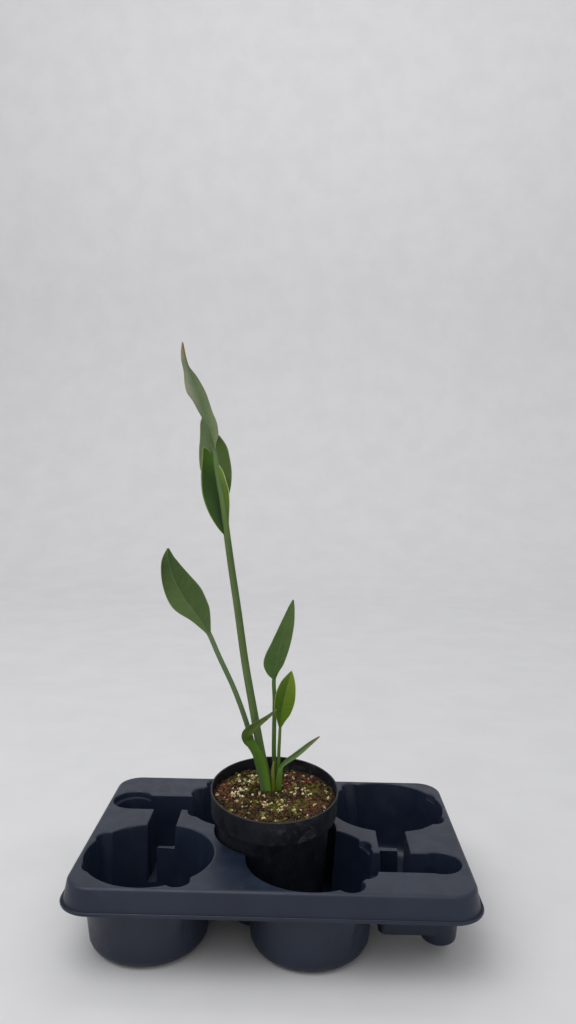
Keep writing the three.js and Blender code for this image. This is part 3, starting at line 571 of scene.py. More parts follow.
def make_pot(material):
    top = POT_HEIGHT
    outline = [
        (0, 1.2), (FOOT_RADIUS - 6, 1.2), (FOOT_RADIUS - 5.2, 0.2), (FOOT_RADIUS - 4.8, 0),
        (FOOT_RADIUS - 1.4, 0), (FOOT_RADIUS - 0.6, 0.2),
        *((body_radius(z), z) for z in (1, 30, 60, COLLAR_FOOT - 1.2)),
        (body_radius(COLLAR_FOOT) + 0.5, COLLAR_FOOT - 0.2),
        *((COLLAR_RADIUS + r, COLLAR_FOOT + z) for r, z in ((-0.8, 0), (-0.2, 0.2), (0, 0.8))),
        (collar_radius(top - 3), top - 3),
        *((RIM_RADIUS + r, top + z) for r, z in (
            (-0.1, -1.2), (0, -0.7), (-0.15, -0.25), (-0.5, 0), (-1.3, 0), (-1.7, -0.3))),
        (collar_radius(top - 1.4) - POT_WALL, top - 1.4),
        (COLLAR_RADIUS - POT_WALL, COLLAR_FOOT + 2.4),
        (body_radius(COLLAR_FOOT) - POT_WALL, COLLAR_FOOT + 1.2),
        (body_radius(2) - POT_WALL, POT_FLOOR), (0, POT_FLOOR),
    ]
    holes = []
    for k in range(DRAIN_HOLES):
        bm = bmesh.new()
        cone(bm, 24, DRAIN_RADIUS, DRAIN_RADIUS, 8)
        angle = tau * (k + 0.5) / DRAIN_HOLES
        place = (DRAIN_RING * cos(angle), DRAIN_RING * sin(angle), 2)
        bmesh.ops.translate(bm, vec=place, verts=bm.verts)
        holes.append(("DIFFERENCE", bm))
    pot = carve(to_object("nursery_pot", turned(outline, 120), material), holes)
    in_metres = pot_place.copy()
    in_metres.translation *= METRES
    pot.data.transform(in_metres)
    settle(shade_moulding(pot, 40), "pot")


def soil_height(x, y):
    """The soil's surface, in the pot's own frame: rolling, lumpy and loose."""
    broad = sin(x / 11 + 1.3) * cos(y / 13 - 0.4)
    lumps = sin(x / 4.7 + y / 6.1) * sin(y / 4.1 - x / 7.3 + 2)
    crumbs = sin(x / 2.3 - y / 3.1) * cos(y / 2.1 + x / 3.7)
    relief = 1.5 * (0.55 * broad + 0.6 * lumps + 0.35 * crumbs)
    loose = noise.noise(Vector((x, y, 0)) * 0.3) * 1.5 + noise.noise(Vector((x, y, 9)) * 0.8)
    return SOIL_LEVEL - 0.07 * y + relief + loose


def make_soil(material):
    foot, shoulder = POT_FLOOR + FIT_GAP, COLLAR_FOOT + 1.2
    edge = collar_radius(SOIL_STEP) - SOIL_GAP - 0.2
    outline = [
        (0, foot), (body_radius(foot) - SOIL_GAP - 0.1, foot),
        (body_radius(shoulder) - SOIL_GAP - 0.1, shoulder + FIT_GAP), (edge, SOIL_STEP + 0.4),
    ]
    outline += [(edge * k / 70, SOIL_LEVEL) for k in range(70, -1, -1)]
    bm = turned(outline, 240)
    for vert in bm.verts:
        if vert.co.z > SOIL_LEVEL - 0.5:
            vert.co.z = soil_height(vert.co.x, vert.co.y)
    bmesh.ops.transform(bm, matrix=pot_place, verts=bm.verts)
    settle(shade(to_object("soil_bed", bm, material), 60), "soil")


def lay(bm, made, at, turn, lean, lift=0):
    """Lift new points, lean and turn them about their foot, and bring them to a place."""
    moves = Matrix.Rotation(turn, 4, "Z") @ Matrix.Rotation(lean, 4, "X")
    moves = Matrix.Translation(at) @ moves @ Matrix.Translation((0, 0, lift))
    bmesh.ops.transform(bm, matrix=moves, verts=made)


def crumb(bm, at, size, flat, chance):
    """One loose bit: a ball pulled out of shape, lying on the soil."""
    made = bmesh.ops.create_icosphere(bm, subdivisions=1, radius=1)["verts"]
    seed = Vector([chance.random() * 90 for _ in range(3)])
    stretch = Vector((size * chance.uniform(0.7, 1.3), size * chance.uniform(0.6, 1), size * flat))
    for vert in made:
        lump = 1 + 1.1 * noise.noise(vert.co * 1.4 + seed)
        vert.co = Vector(a * b * lump for a, b in zip(vert.co, stretch))
    lay(bm, made, at, chance.random() * tau, chance.uniform(-0.7, 0.7))


def leaflets(bm, at, size, chance):
    """A tuft of moss: short pointed leaflets that lean out from one foot."""
    for k in range(7):
        lean = chance.uniform(0.2, 1.2)
        lay(bm, cone(bm, 4, 0.3, 0.04, size), at, tau * (k + chance.random()) / 7, lean, size / 2)


def fibre(bm, at, length, chance):
    """A thin torn strand that lies on the soil, a little aslant."""
    lying = pi / 2 + chance.uniform(-0.25, 0.25)
    lay(bm, cone(bm, 4, 0.28, 0.14, length), at, chance.random() * tau, lying)


SCATTER_REACH = 60.5
STALK_ROOM = 6
HEAP = 30  # bits made at a time


def clear_of_stalks(x, y):
    """Whether a place on the leaning soil is clear of the stalks' feet."""
    feet = [leaf["stalk"][0] for leaf in LEAVES]
    return all(hypot(x - foot[0] - 1.3, y - foot[1] - 10) > STALK_ROOM for foot in feet)


def scatter(name, count, seed, wanted, add_bit, *finish):
    """Bits laid on the soil at random, thicker where wanted is near 1, as one piece."""
    chance = random.Random(seed)
    bm = bmesh.new()
    heap = bmesh.new()
    gathered = bpy.data.meshes.new("heap")
    laid = 0
    while laid < count:
        angle, away = chance.random() * tau, SCATTER_REACH * sqrt(chance.random())
        x, y = away * cos(angle), away * sin(angle)
        if chance.random() < wanted(x, y) and clear_of_stalks(x, y):
            add_bit(heap, Vector((x, y, soil_height(x, y))), chance)
            laid += 1
            if laid % HEAP == 0 or laid == count:
                heap.to_mesh(gathered)
                bm.from_mesh(gathered)
                heap.clear()
    heap.free()
    bpy.data.meshes.remove(gathered)
    bmesh.ops.transform(bm, matrix=pot_place, verts=bm.verts)
    settle(shade(to_object(name, bm, crumb_finish(*finish)), 50))


def thickness(x, y, patches):
    """How thick bits lie, from patches: amount, middle, and spread along X and Y."""
    return sum(amount * exp(-((x - cx) / spread_x) ** 2 - ((y - cy) / spread_y) ** 2)
               for amount, cx, cy, spread_x, spread_y in patches)


GRIT_PATCHES = [(1, -26, 26, 14, 12), (0.8, -44, 2, 14, 20), (0.7, 2, -24, 18, 10),
                (0.4, 16, 10, 12, 14)]
MOSS_PATCHES = [(1, -38, 34, 20, 16), (1, 34, 12, 18, 20), (1, 30, -34, 18, 12),
                (0.7, 8, -22, 30, 9)]
RED_PATCHES = [(1, 26, 32, 18, 14), (1, 44, -20, 14, 16), (1, -54, 0, 8, 20)]


def make_soil_bits():
    def patchy(x, y, seed):
        return eased(-0.15, 0.35, noise.noise(Vector((x, y, seed)) * 0.085))

    def grit_here(x, y):
        return min(1, 0.07 + thickness(x, y, GRIT_PATCHES)) * (0.25 + 0.75 * patchy(x, y, 3))

    def moss_here(x, y):
        return min(1, thickness(x, y, MOSS_PATCHES) + 0.12) * patchy(x, y, 14)

    def bits(shape, lift, small, big, *flat):
        return lambda bm, at, chance: shape(
            bm, at + Vector((0, 0, lift)), chance.uniform(small, big), *flat, chance)

    scatter("bark_fibres", 700, 31, lambda x, y: 0.4 + 0.6 * patchy(x, y, 40),
            bits(fibre, 0.7, 2, 6), "bark_fibre", (58, 40, 24), (138, 108, 66), 140)
    scatter("soil_crumbs", 900, 5, lambda x, y: 0.8,
            bits(crumb, 0.2, 0.8, 2.4, 0.9), "dark_crumb", (34, 25, 16), (84, 64, 42), 160)
    scatter("bark_crumbs", 340, 8, lambda x, y: 0.06 + thickness(x, y, RED_PATCHES),
            bits(crumb, 0.2, 1, 3, 0.8), "red_bark", (58, 30, 24), (124, 70, 56), 190)
    scatter("white_grit", 300, 11, grit_here,
            bits(crumb, 0.2, 0.9, 2.4, 0.8), "pale_grit", (140, 122, 76), (222, 210, 168), 150, 0.8)
    scatter("moss_cushions", 200, 17, moss_here,
            bits(crumb, 0.2, 1, 2.8, 0.5), "moss_cushion", (56, 64, 14), (112, 112, 34), 200)
    scatter("moss_tufts", 620, 21, moss_here,
            bits(leaflets, 0, 1.4, 3), "moss_leaflet", (66, 80, 18), (146, 142, 52), 110)


# ---- the leaves

# The tall leaf is split and turned over: each lobe runs from a stretch of its midrib to a margin
# that is drawn point by point. Side -1 is the left half. Front tones go up the lobe. The edge tone
# along each margin is partly the margin's own paler colour and partly painted highlight where the
# curled margin and fold catch the light.
LOBES = [
    dict(side=-1, stretch=(0, 0.405), bow=[(0.4, -2), (0.8, -1)],
         margin=[(-56.5, -21, 405), (-62, -22.5, 411.5), (-68.5, -24.5, 421.5), (-74, -26, 433),
             (-78, -27, 446), (-79.5, -27.5, 459), (-79.5, -28, 473.5), (-78.5, -28, 483.5),
             (-77.5, -28, 495), (-74, -28, 493.5), (-69.5, -27, 488.5)],
         # The darkest tones, next to the midrib, are painted shade: the midrib band's shadow in the
         # trough beside it.
         inner=[(0, 22, 44, 10), (0.35, 20, 44, 6), (0.7, 40, 74, 6), (1, 76, 112, 30)],
         outer=[(0, 52, 80, 36), (0.35, 54, 84, 34), (0.6, 42, 70, 16), (1, 72, 106, 30)],
         back=(70, 90, 52), edge=(0.9, 128, 152, 78)),
    dict(side=1, stretch=(0.06, 0.335), bow=[(0.5, -1)],
         margin=[(-51.5, -21, 416.5), (-51, -23, 428), (-50.5, -25, 438), (-51, -27, 447.5),
             (-52.5, -28.5, 456), (-55, -29, 464), (-58, -28.5, 471.5), (-61.5, -27, 477)],
         inner=[(0, 74, 100, 40), (1, 96, 124, 54)],
         outer=[(0, 80, 102, 38), (0.5, 94, 118, 42), (1, 116, 142, 66)], back=(60, 82, 44),
         edge=(1, 176, 188, 122)),
    dict(side=1, stretch=(0.19, 0.47), bow=[(0.5, -4)],
         margin=[(-57, -20, 441), (-53.5, -17, 442), (-51.5, -15, 449), (-50, -14, 461.5),
             (-50, -14, 474), (-52, -15, 485), (-55, -17, 496), (-59.5, -19, 503.5),
             (-64, -21, 508), (-68, -23, 506)],
         inner=[(0, 70, 94, 46), (0.5, 90, 112, 64), (1, 100, 122, 78)],
         outer=[(0, 72, 96, 48), (0.5, 84, 108, 52), (1, 72, 100, 40)], back=(58, 80, 38),
         edge=(0.4, 118, 138, 82)),
    dict(side=-1, stretch=(0.35, 0.63), bow=[(0.5, -3)],
         margin=[(-70.5, -21, 474.5), (-76.5, -18, 469), (-81, -16.5, 470.5), (-83, -16, 479.5),
             (-83, -16, 492), (-82.5, -17, 502), (-82, -18.5, 512.5), (-81, -21, 521.5),
             (-77.5, -24, 528.5)],
         inner=[(0, 90, 116, 64), (1, 84, 106, 64)],
         outer=[(0, 108, 124, 80), (0.4, 104, 120, 88), (1, 92, 112, 72)], back=(52, 76, 34),
         edge=(0.45, 140, 138, 96)),
    dict(side=-1, stretch=(0.44, 1), bow=[(0.3, 1)],
         margin=[(-67.5, -28, 494), (-70.5, -28.5, 505), (-74.5, -28.5, 515.5), (-79, -28, 524.5),
             (-84, -27.5, 533), (-89, -27, 542), (-94.5, -27, 549.5), (-97, -27, 559),
             (-98, -27.5, 571), (-100, -28.5, 581.5), (-100.5, -29.5, 589.5), (-99.5, -30, 599.4)],
         inner=[(0, 90, 114, 66), (0.4, 96, 116, 80), (0.8, 102, 116, 86), (1, 150, 132, 84)],
         outer=[(0, 68, 90, 46), (0.3, 98, 112, 78), (0.5, 136, 140, 120), (0.8, 120, 128, 104),
             (1, 150, 140, 92)],
         back=(56, 80, 38), edge=(0.25, 134, 142, 112)),
    dict(side=1, stretch=(0.42, 1), bow=[(0.3, 1)],
         margin=[(-65.5, -28, 493), (-64.5, -28, 499.5), (-62.5, -27.5, 506), (-63, -27, 514),
             (-64.7, -26.5, 521), (-68.2, -26.5, 529), (-71.8, -26.5, 539.5), (-75, -26.5, 548.5),
             (-79.7, -27, 557.5), (-85.7, -27.5, 567), (-92, -28, 575), (-95, -28.5, 581.5),
             (-97.2, -29.5, 589.5), (-98.5, -30, 599.4)],
         inner=[(0, 98, 120, 76), (0.5, 92, 114, 74), (0.85, 96, 110, 80), (1, 112, 92, 52)],
         outer=[(0, 122, 128, 98), (0.5, 108, 120, 86), (0.85, 90, 106, 72), (1, 96, 84, 50)],
         back=(56, 80, 38), edge=(0.6, 138, 150, 104)),
]

LEAVES = [
    dict(name="leaf_tall", slot="leaf_green", rows=(60, 90), steps=3, lobes=LOBES,
         stalk=[(-10, 3, 129), (-13, 0, 150), (-17, -2.5, 173), (-25, -6.5, 218), (-34, -11, 270),
             (-42, -15, 327), (-48.5, -17.5, 370), (-53, -20, 402.5)],
         blade=[(-55, -21, 418.5), (-57.5, -22.5, 438), (-61, -24, 457.5), (-64, -25, 474.5),
             (-66.5, -26, 491), (-69, -27, 505), (-73, -28, 520), (-78, -28.5, 536),
             (-83.5, -29, 551), (-89.5, -29.5, 566), (-95, -30, 581), (-99, -30, 599.4)],
         stalk_width=[(0, 5.8), (0.15, 5.2), (0.4, 3.8), (1, 2.9)],
         stalk_depth=[(0, 4), (0.3, 3.4), (1, 2.6)], rib_front=0.9,
         rib_width=[(0, 2.9), (0.2, 2.6), (0.35, 2.2), (0.5, 1.3), (0.7, 0.9), (1, 0.5)],
         rib_depth=[(0, 2.6), (0.3, 1.8), (0.5, 1.1), (1, 0.5)], width=[(0, 0.5)],
         stalk_tone=[(0, 58, 86, 66), (0.1, 82, 108, 68), (0.3, 92, 112, 64), (1, 88, 108, 64)],
         stalk_right_tone=[(0, 66, 96, 44), (0.1, 78, 110, 46), (0.3, 80, 106, 54),
             (1, 76, 98, 54)],
         upper_tone=[(0, 90, 114, 62), (0.35, 96, 120, 72), (0.5, 98, 116, 82), (0.9, 92, 104, 80),
             (1, 120, 104, 60)],
         under_tone=[(0, 70, 92, 54), (1, 80, 96, 60)]),
    dict(name="leaf_left", slot="leaf_dark_green", rows=(50, 70), steps=12,
         stalk=[(-14, 12, 128), (-20, 8, 152), (-25.5, 5, 174.5), (-31, 2.5, 195), (-38, 0, 217),
             (-47.5, -2, 242), (-62, -5, 274), (-73, -7, 299.5)],
         blade=[(-79, -8, 309), (-86.5, -9, 320), (-98.6, -10, 336), (-109.4, -11, 356),
             (-115.3, -11, 375.5), (-116, -10, 389)],
         stalk_width=[(0, 3.6), (0.3, 2.5), (1, 2.1)], stalk_depth=[(0, 2.6), (0.3, 2.2), (1, 1.7)],
         rib_width=[(0, 2.1), (0.4, 1.2), (1, 0.4)], rib_depth=[(0, 1.7), (0.4, 1.1), (1, 0.5)],
         left_width=[(0, 2.4), (0.17, 5.2), (0.33, 9), (0.5, 15.5), (0.67, 13.5), (0.83, 8.5),
             (1, 0.8)],
         right_width=[(0, 2.6), (0.17, 10), (0.33, 17), (0.5, 21.5), (0.67, 17), (0.83, 9),
             (1, 0.8)],
         left_fold=[(0, 20), (1, 14)], right_fold=[(0, 16), (1, 8)],
         left_curl=[(0, 0), (0.5, 14), (0.85, 50), (1, 20)],
         right_curl=[(0, 0), (0.5, -12), (1, -8)],
         stalk_tone=[(0, 68, 98, 56), (0.3, 84, 110, 66), (1, 98, 118, 80)],
         upper_tone=[(0, 80, 102, 56), (0.5, 68, 90, 46), (1, 54, 76, 34)],
         left_tone=[(0, 90, 110, 66), (0.5, 80, 102, 56), (0.8, 60, 82, 40), (1, 88, 108, 62)],
         under_tone=[(0, 84, 102, 66), (1, 88, 104, 72)]),
    dict(name="leaf_middle", slot="leaf_dark_green", rows=(40, 70), steps=10,
         stalk=[(-1, 9.5, 128), (-2.1, 8.6, 147), (-3, 8.6, 168), (-3.1, 9.5, 196), (-3.1, 11, 223),
             (-4.1, 13, 246)],
         blade=[(-1.2, 14.5, 264), (3, 16, 284), (9, 17, 306), (13.7, 18, 324), (15.5, 18, 332)],
         stalk_width=[(0, 2.8), (0.3, 2.1), (1, 1.7)], stalk_depth=[(0, 2), (0.3, 1.8), (1, 1.4)],
         rib_width=[(0, 1.7), (0.4, 1), (1, 0.4)], rib_depth=[(0, 1.4), (0.4, 1), (1, 0.5)],
         left_width=[(0, 2), (0.06, 9.5), (0.15, 15.5), (0.25, 16), (0.4, 11.5), (0.6, 7),
             (0.8, 3.2), (1, 0.6)],
         right_width=[(0, 2), (0.1, 4.5), (0.2, 7.8), (0.4, 10), (0.6, 8), (0.8, 3.5), (1, 0.6)],
         left_fold=[(0, 30), (0.4, 20), (1, 10)], right_fold=[(0, 24), (0.4, 18), (1, 10)],
         left_curl=[(0, 0), (0.3, 16), (1, 10)], right_curl=[(0, 0), (0.4, -10), (1, 0)],
         stalk_tone=[(0, 58, 88, 34), (0.5, 72, 102, 42), (1, 78, 108, 48)],
         upper_tone=[(0, 72, 98, 50), (0.5, 72, 98, 48), (1, 84, 106, 58)],
         left_tone=[(0, 76, 108, 52), (0.4, 76, 104, 52), (1, 86, 108, 62)],
         under_tone=[(0, 84, 104, 64), (1, 90, 108, 72)]),
    dict(name="leaf_bright", slot="leaf_bright_green", rows=(30, 50), steps=8,
         stalk=[(1.5, 4.6, 128.5), (2.4, 3.4, 149), (2.6, 1, 170.5), (3.2, -1, 186),
             (3.7, -3, 198.5)],
         blade=[(5.5, -5, 215.5), (8, -7, 231), (11.5, -9, 247), (15.1, -10, 261)],
         stalk_width=[(0, 1.6), (1, 1.2)], stalk_depth=[(0, 1.3), (1, 1)],
         rib_width=[(0, 1.2), (0.4, 0.8), (1, 0.4)], rib_depth=[(0, 1), (0.4, 0.8), (1, 0.5)],
         left_width=[(0, 1.4), (0.12, 4.5), (0.25, 8), (0.5, 10.4), (0.75, 8.4), (0.9, 4.2),
             (1, 0.6)],
         right_width=[(0, 1.4), (0.12, 5), (0.25, 9.4), (0.5, 11.4), (0.75, 8.2), (0.9, 4.2),
             (1, 0.6)],
         left_fold=[(0, 26), (1, 16)], right_fold=[(0, 26), (1, 12)],
         left_curl=[(0, 0), (0.5, -12), (1, 0)], right_curl=[(0, 0), (0.5, -20), (1, -10)],
         stalk_tone=[(0, 64, 92, 26), (0.5, 84, 114, 40), (1, 88, 120, 42)],
         upper_tone=[(0, 80, 110, 24), (0.5, 90, 120, 22), (1, 118, 134, 44)],
         left_tone=[(0, 70, 98, 22), (0.5, 68, 98, 14), (1, 92, 116, 34)],
         under_tone=[(0, 92, 114, 52), (1, 100, 120, 60)]),
    dict(name="leaf_curled", slot="leaf_dark_green", rows=(36, 50), steps=6,
         stalk=[(-11, -3.9, 130), (-14.5, -7.6, 152), (-19, -11.2, 170), (-25.5, -13, 182),
             (-30.5, -14, 187.5)],
         blade=[(-30.4, -15, 194.5), (-24.6, -16, 201), (-17.2, -17, 207.2), (-8.8, -18, 214),
             (0.3, -18, 222)],
         stalk_width=[(0, 5.2), (0.3, 4.8), (0.6, 4.6), (1, 4.2)],
         stalk_depth=[(0, 0.7), (0.5, 0.8), (1, 0.8)], rib_width=[(0, 1.6), (0.4, 0.9), (1, 0.4)],
         rib_depth=[(0, 0.8), (0.4, 0.7), (1, 0.5)],
         left_width=[(0, 4.6), (0.15, 5.6), (0.4, 5), (0.6, 3.6), (0.8, 2.2), (1, 0.6)],
         right_width=[(0, 4.4), (0.15, 4.6), (0.4, 4), (0.6, 2.8), (0.8, 1.7), (1, 0.6)],
         fold=[(0, 10)], curl=[(0, 0), (0.5, 20), (1, 0)],
         stalk_tone=[(0, 50, 80, 70), (0.25, 78, 108, 64), (0.6, 72, 104, 34), (1, 66, 98, 24)],
         stalk_right_tone=[(0, 84, 120, 40), (0.25, 96, 132, 44), (0.6, 76, 112, 30),
             (1, 62, 94, 22)],
         upper_tone=[(0, 62, 92, 22), (0.4, 78, 96, 40), (1, 98, 110, 60)],
         under_tone=[(0, 72, 92, 46), (1, 80, 96, 52)]),
    dict(name="leaf_spear", slot="leaf_green", rows=(24, 40), steps=5,
         stalk=[(2, -0.6, 130), (3.4, -0.9, 143), (5.4, 0.6, 153.5)],
         blade=[(11.4, 4, 159), (18.4, 7, 163.2), (27, 10, 169), (35.5, 13, 175.2),
             (46.4, 16, 182.4)],
         stalk_width=[(0, 3.4), (0.5, 3), (1, 1.8)], stalk_depth=[(0, 0.7), (1, 0.8)],
         rib_width=[(0, 1.4), (0.4, 0.9), (1, 0.4)], rib_depth=[(0, 0.9), (0.4, 0.8), (1, 0.5)],
         width=[(0, 2), (0.3, 3.2), (0.6, 3), (0.85, 2), (1, 0.5)], fold=[(0, 30), (1, 25)],
         stalk_tone=[(0, 74, 98, 18), (0.5, 82, 112, 34), (1, 86, 118, 52)],
         upper_tone=[(0, 90, 122, 60), (0.5, 98, 124, 78), (0.85, 104, 122, 80), (1, 132, 122, 74)],
         under_tone=[(0, 76, 98, 50), (1, 84, 102, 60)]),
    dict(name="sheath_yellow", slot="sheath_dry", rows=(16, 20), steps=3,
         stalk=[(-2.9, -3.4, 130), (-3.2, -3.8, 144)],
         blade=[(-3.6, -3.9, 150), (-3.2, -3.8, 156), (-2.6, -3.6, 161)],
         stalk_width=[(0, 1.2), (1, 1.4)], stalk_depth=[(0, 0.5)], rib_width=[(0, 0.8), (1, 0.3)],
         rib_depth=[(0, 0.5), (1, 0.45)], width=[(0, 1.6), (0.5, 1.3), (1, 0.4)],
         stalk_tone=[(0, 70, 84, 22), (1, 100, 106, 36)],
         upper_tone=[(0, 112, 114, 44), (1, 126, 126, 60)],
         under_tone=[(0, 110, 106, 46), (1, 120, 116, 56)]),
]

BLADE_MARGIN = 0.32  # half the blade's thickness away from its midrib
RIB_PLACES = (0, 0.35, 0.65, 0.88, 1)
RIB_ROOM = 1.12  # a blade is never narrower than its midrib with this much room
CURL_GROWTH = 1.6
LEVEL = [(0, 0)]


class Route:
    """A smooth curve through points; the place along it runs from 0 to 1."""

    def __init__(self, points):
        self.points = [Vector(p) for p in points]

    def point(self, place):
        points = self.points
        last = len(points) - 1
        at = min(max(place, 0), 1) * last
        i = min(int(at), last - 1)
        f = at - i
        p1, p2 = points[i], points[i + 1]
        p0 = points[i - 1] if i > 0 else 2 * p1 - p2
        p3 = points[i + 2] if i + 2 <= last else 2 * p2 - p1
        d0, d1, d2 = (sqrt((b - a).length) for a, b in ((p0, p1), (p1, p2), (p2, p3)))
        t1 = ((p1 - p0) / d0 - (p2 - p0) / (d0 + d1) + (p2 - p1) / d1) * d1
        t2 = ((p2 - p1) / d1 - (p3 - p1) / (d1 + d2) + (p3 - p2) / d2) * d1
        return (p1 + t1 * f + (-3 * p1 + 3 * p2 - 2 * t1 - t2) * f * f
                + (2 * p1 - 2 * p2 + t1 + t2) * f * f * f)

    def heading(self, place):
        low, high = max(place - 1e-4, 0), min(place + 1e-4, 1)
        return (self.point(high) - self.point(low)).normalized()


def half_section(side, width, rib, upper, lower, fold, curl, steps):
    """From the midrib outwards: offset across and out, the face's direction, and thicknesses."""
    width = max(width, rib * RIB_ROOM)
    places = [rib * s for s in RIB_PLACES]
    places += [rib + (width - rib) * k / steps for k in range(1, steps + 1)]

    def slant(place):
        return radians(fold + curl * (place / width) ** CURL_GROWTH)

    across = out = 0
    section = []
    for k, d in enumerate(places):
        if k:
            middle = slant((d + places[k - 1]) / 2)
            across += side * cos(middle) * (d - places[k - 1])
            out += sin(middle) * (d - places[k - 1])
        angle = slant(d) if k else 0
        dome = sqrt(max(0, 1 - (d / rib) ** 2))
        thick = [BLADE_MARGIN + max(0, t - BLADE_MARGIN) * dome for t in (upper, lower)]
        section.append((across, out, -side * sin(angle), cos(angle), *thick,
                        side * d / width))
    return section


def closed_row(start, upper, end, lower, reaches, wrap=0):
    """A row out along the upper face and back along the lower one, and its places on the map."""
    across = [(1 + r) / 4 for r in reaches]
    wraps = [wrap] + across + [0.5] + [1 - a for a in across[::-1]] + [1 - wrap]
    return [start] + upper + [end] + lower[::-1] + [start], wraps


def plain_row(centre, along, left, right):
    """The closed row of points round a stalk or a blade."""
    side = Vector((0, 1, 0)).cross(along).normalized()
    face = side.cross(along)
    section = left[:0:-1] + right

    def spot(s, lift):
        return centre + side * (s[0] + lift * s[2]) + face * (s[1] + lift * s[3])

    def rim(s, sign):
        return centre + side * (s[0] + 0.25 * sign * s[3]) + face * (s[1] - 0.25 * sign * s[2])

    return closed_row(
        rim(section[0], -1), [spot(s, s[4]) for s in section],
        rim(section[-1], 1), [spot(s, -s[5]) for s in section], [s[6] for s in section])


def blend(a, b, share):
    return tuple(p + (q - p) * share for p, q in zip(a, b))


def tone_at(tones, place):
    """The colour at a place, from (place, red, green, blue) rows."""
    after = next((k for k, tone in enumerate(tones) if tone[0] >= place), len(tones) - 1)
    (p0, *c0), (p1, *c1) = tones[max(after - 1, 0)], tones[after]
    return blend(colour(*c0), colour(*c1), 1 if p1 == p0 else (place - p0) / (p1 - p0))


def lobe_rows(lobe, route, blade_start):
    """Closed rows round one lobe: out along its front to the margin, and back behind."""
    edge = Route(lobe["margin"])
    side = lobe["side"]
    low, high = lobe["stretch"]
    bow = [(0, 0), *lobe["bow"], (1, 0)]
    step = 0.004

    def point_at(place, reach):
        inside = min(max(place, 0), 1)
        at = blade_start + (1 - blade_start) * (low + (high - low) * inside)
        start = route.point(at)
        chord = edge.point(inside) - start
        out = chord.cross(route.heading(at)).normalized() * side
        ripple = sin(19 * inside + 2 * side) * sin(pi * inside)
        bulge = profile(bow, inside) * 4 * reach * (1 - reach) + 0.35 * reach * reach * ripple
        return start + chord * reach + out * bulge

    def face_at(place, reach):
        wide = point_at(place, min(reach + step, 1)) - point_at(place, max(reach - step, 0))
        long = point_at(min(place + step, 1), reach) - point_at(max(place - step, 0), reach)
        return wide.cross(long).normalized() * side * BLADE_MARGIN

    reaches = [k / 14 for k in range(14)] + [0.965, 1]
    back = colour(*lobe["back"])
    edge_share, *edge_hue = lobe["edge"]
    rows = []
    for k in range(61):
        place = k / 60
        middle = [point_at(place, reach) for reach in reaches]
        faces = [face_at(place, reach) for reach in reaches]
        tip = middle[-1] + (middle[-1] - middle[-2]).normalized() * 0.2
        row, wraps = closed_row(
            middle[0], [p + f for p, f in zip(middle, faces)],
            tip, [p - f for p, f in zip(middle, faces)], reaches, 0.25)
        inner, outer = tone_at(lobe["inner"], place), tone_at(lobe["outer"], place)
        tones = []
        for w in wraps:
            reach = 1 - abs(4 * w - 2)
            tone = back if w > 0.5 else blend(inner, outer, eased(0.1, 0.8, reach))
            # Near the margin the edge tone takes over: partly the margin's paler colour, partly
            # painted highlight.
            tones.append(blend(tone, colour(*edge_hue), edge_share * eased(0.93, 0.99, reach)))
        rows.append((STALK_SHARE + (1 - STALK_SHARE) * place, row, wraps, tones))
    return rows


def leaf_route(leaf):
    """The way up a leaf from the soil, and the place on it where its blade begins."""
    foot = Vector(leaf["stalk"][0])
    start = foot - plant_up * ((foot.z - STALK_FOOT_LEVEL) / plant_up.z)
    points = [start, *leaf["stalk"], *leaf["blade"]]
    return Route(points), len(leaf["stalk"]) / (len(points) - 1)


def leaf_rows(leaf, route, blade_start):
    """Closed rows up the stalk, and on round the blade."""
    stalk_rows, blade_rows = leaf["rows"]
    rib_front = leaf.get("rib_front", 0.3)

    def row(at, left, right):
        halves = [half_section(s, *sizes, leaf["steps"]) for s, sizes in ((-1, left), (1, right))]
        return plain_row(route.point(at), route.heading(at), *halves)

    rows = []
    for k in range(stalk_rows):
        share = k / stalk_rows
        width, depth = profile(leaf["stalk_width"], share), profile(leaf["stalk_depth"], share)
        upper = depth * (0.75 + (rib_front - 0.75) * eased(0.8, 1, share))
        half = (0, width, upper, depth, 0, 0)
        points, wraps = row(blade_start * share, half, half)
        left = tone_at(leaf["stalk_tone"], share)
        right = tone_at(leaf.get("stalk_right_tone", leaf["stalk_tone"]), share)
        tones = [blend(left, right, eased(0.21, 0.29, min(w, 1 - w))) for w in wraps]
        rows.append((STALK_SHARE * share, points, wraps, tones))
    for k in range(blade_rows + 1):
        share = k / blade_rows
        rib, depth = profile(leaf["rib_width"], share), profile(leaf["rib_depth"], share)

        def half(side):
            width, fold, curl = (profile(leaf.get(side + what, leaf.get(what, LEVEL)), share)
                                 for what in ("width", "fold", "curl"))
            return width, rib, rib_front * depth, depth, fold, curl

        at = blade_start + (1 - blade_start) * share
        points, wraps = row(at, half("left_"), half("right_"))
        upper, under = tone_at(leaf["upper_tone"], share), tone_at(leaf["under_tone"], share)
        left = tone_at(leaf.get("left_tone", leaf["upper_tone"]), share)
        tones = [under if w > 0.5 else left if w < 0.25 else upper for w in wraps]
        # A midrib that carries lobes is finished as a stalk.
        v = 0.395 if "lobes" in leaf else STALK_SHARE + (1 - STALK_SHARE) * share
        rows.append((v, points, wraps, tones))
    return rows


def add_rows(bm, rows):
    """A closed skin over the rows, with its place on the leaf's map and its tones."""
    leaf_map = bm.loops.layers.uv["leaf"]
    tone = bm.verts.layers.float_color["tone"]
    grid = bmesh.ops.create_grid(
        bm, x_segments=len(rows[0][1]) - 1, y_segments=len(rows) - 1, size=1)["verts"]
    spots = ((point, (wrap, up), (*hue, 1)) for up, points, wraps, tones in rows
             for point, wrap, hue in zip(points, wraps, tones))
    for vert, (point, place, hue) in zip(grid, spots):
        vert.co = point
        vert[tone] = hue
        for loop in vert.link_loops:
            loop[leaf_map].uv = place
    bmesh.ops.remove_doubles(bm, verts=grid, dist=SAME_POINT)
    bmesh.ops.holes_fill(bm, edges=[e for e in bm.edges if e.is_boundary], sides=0)


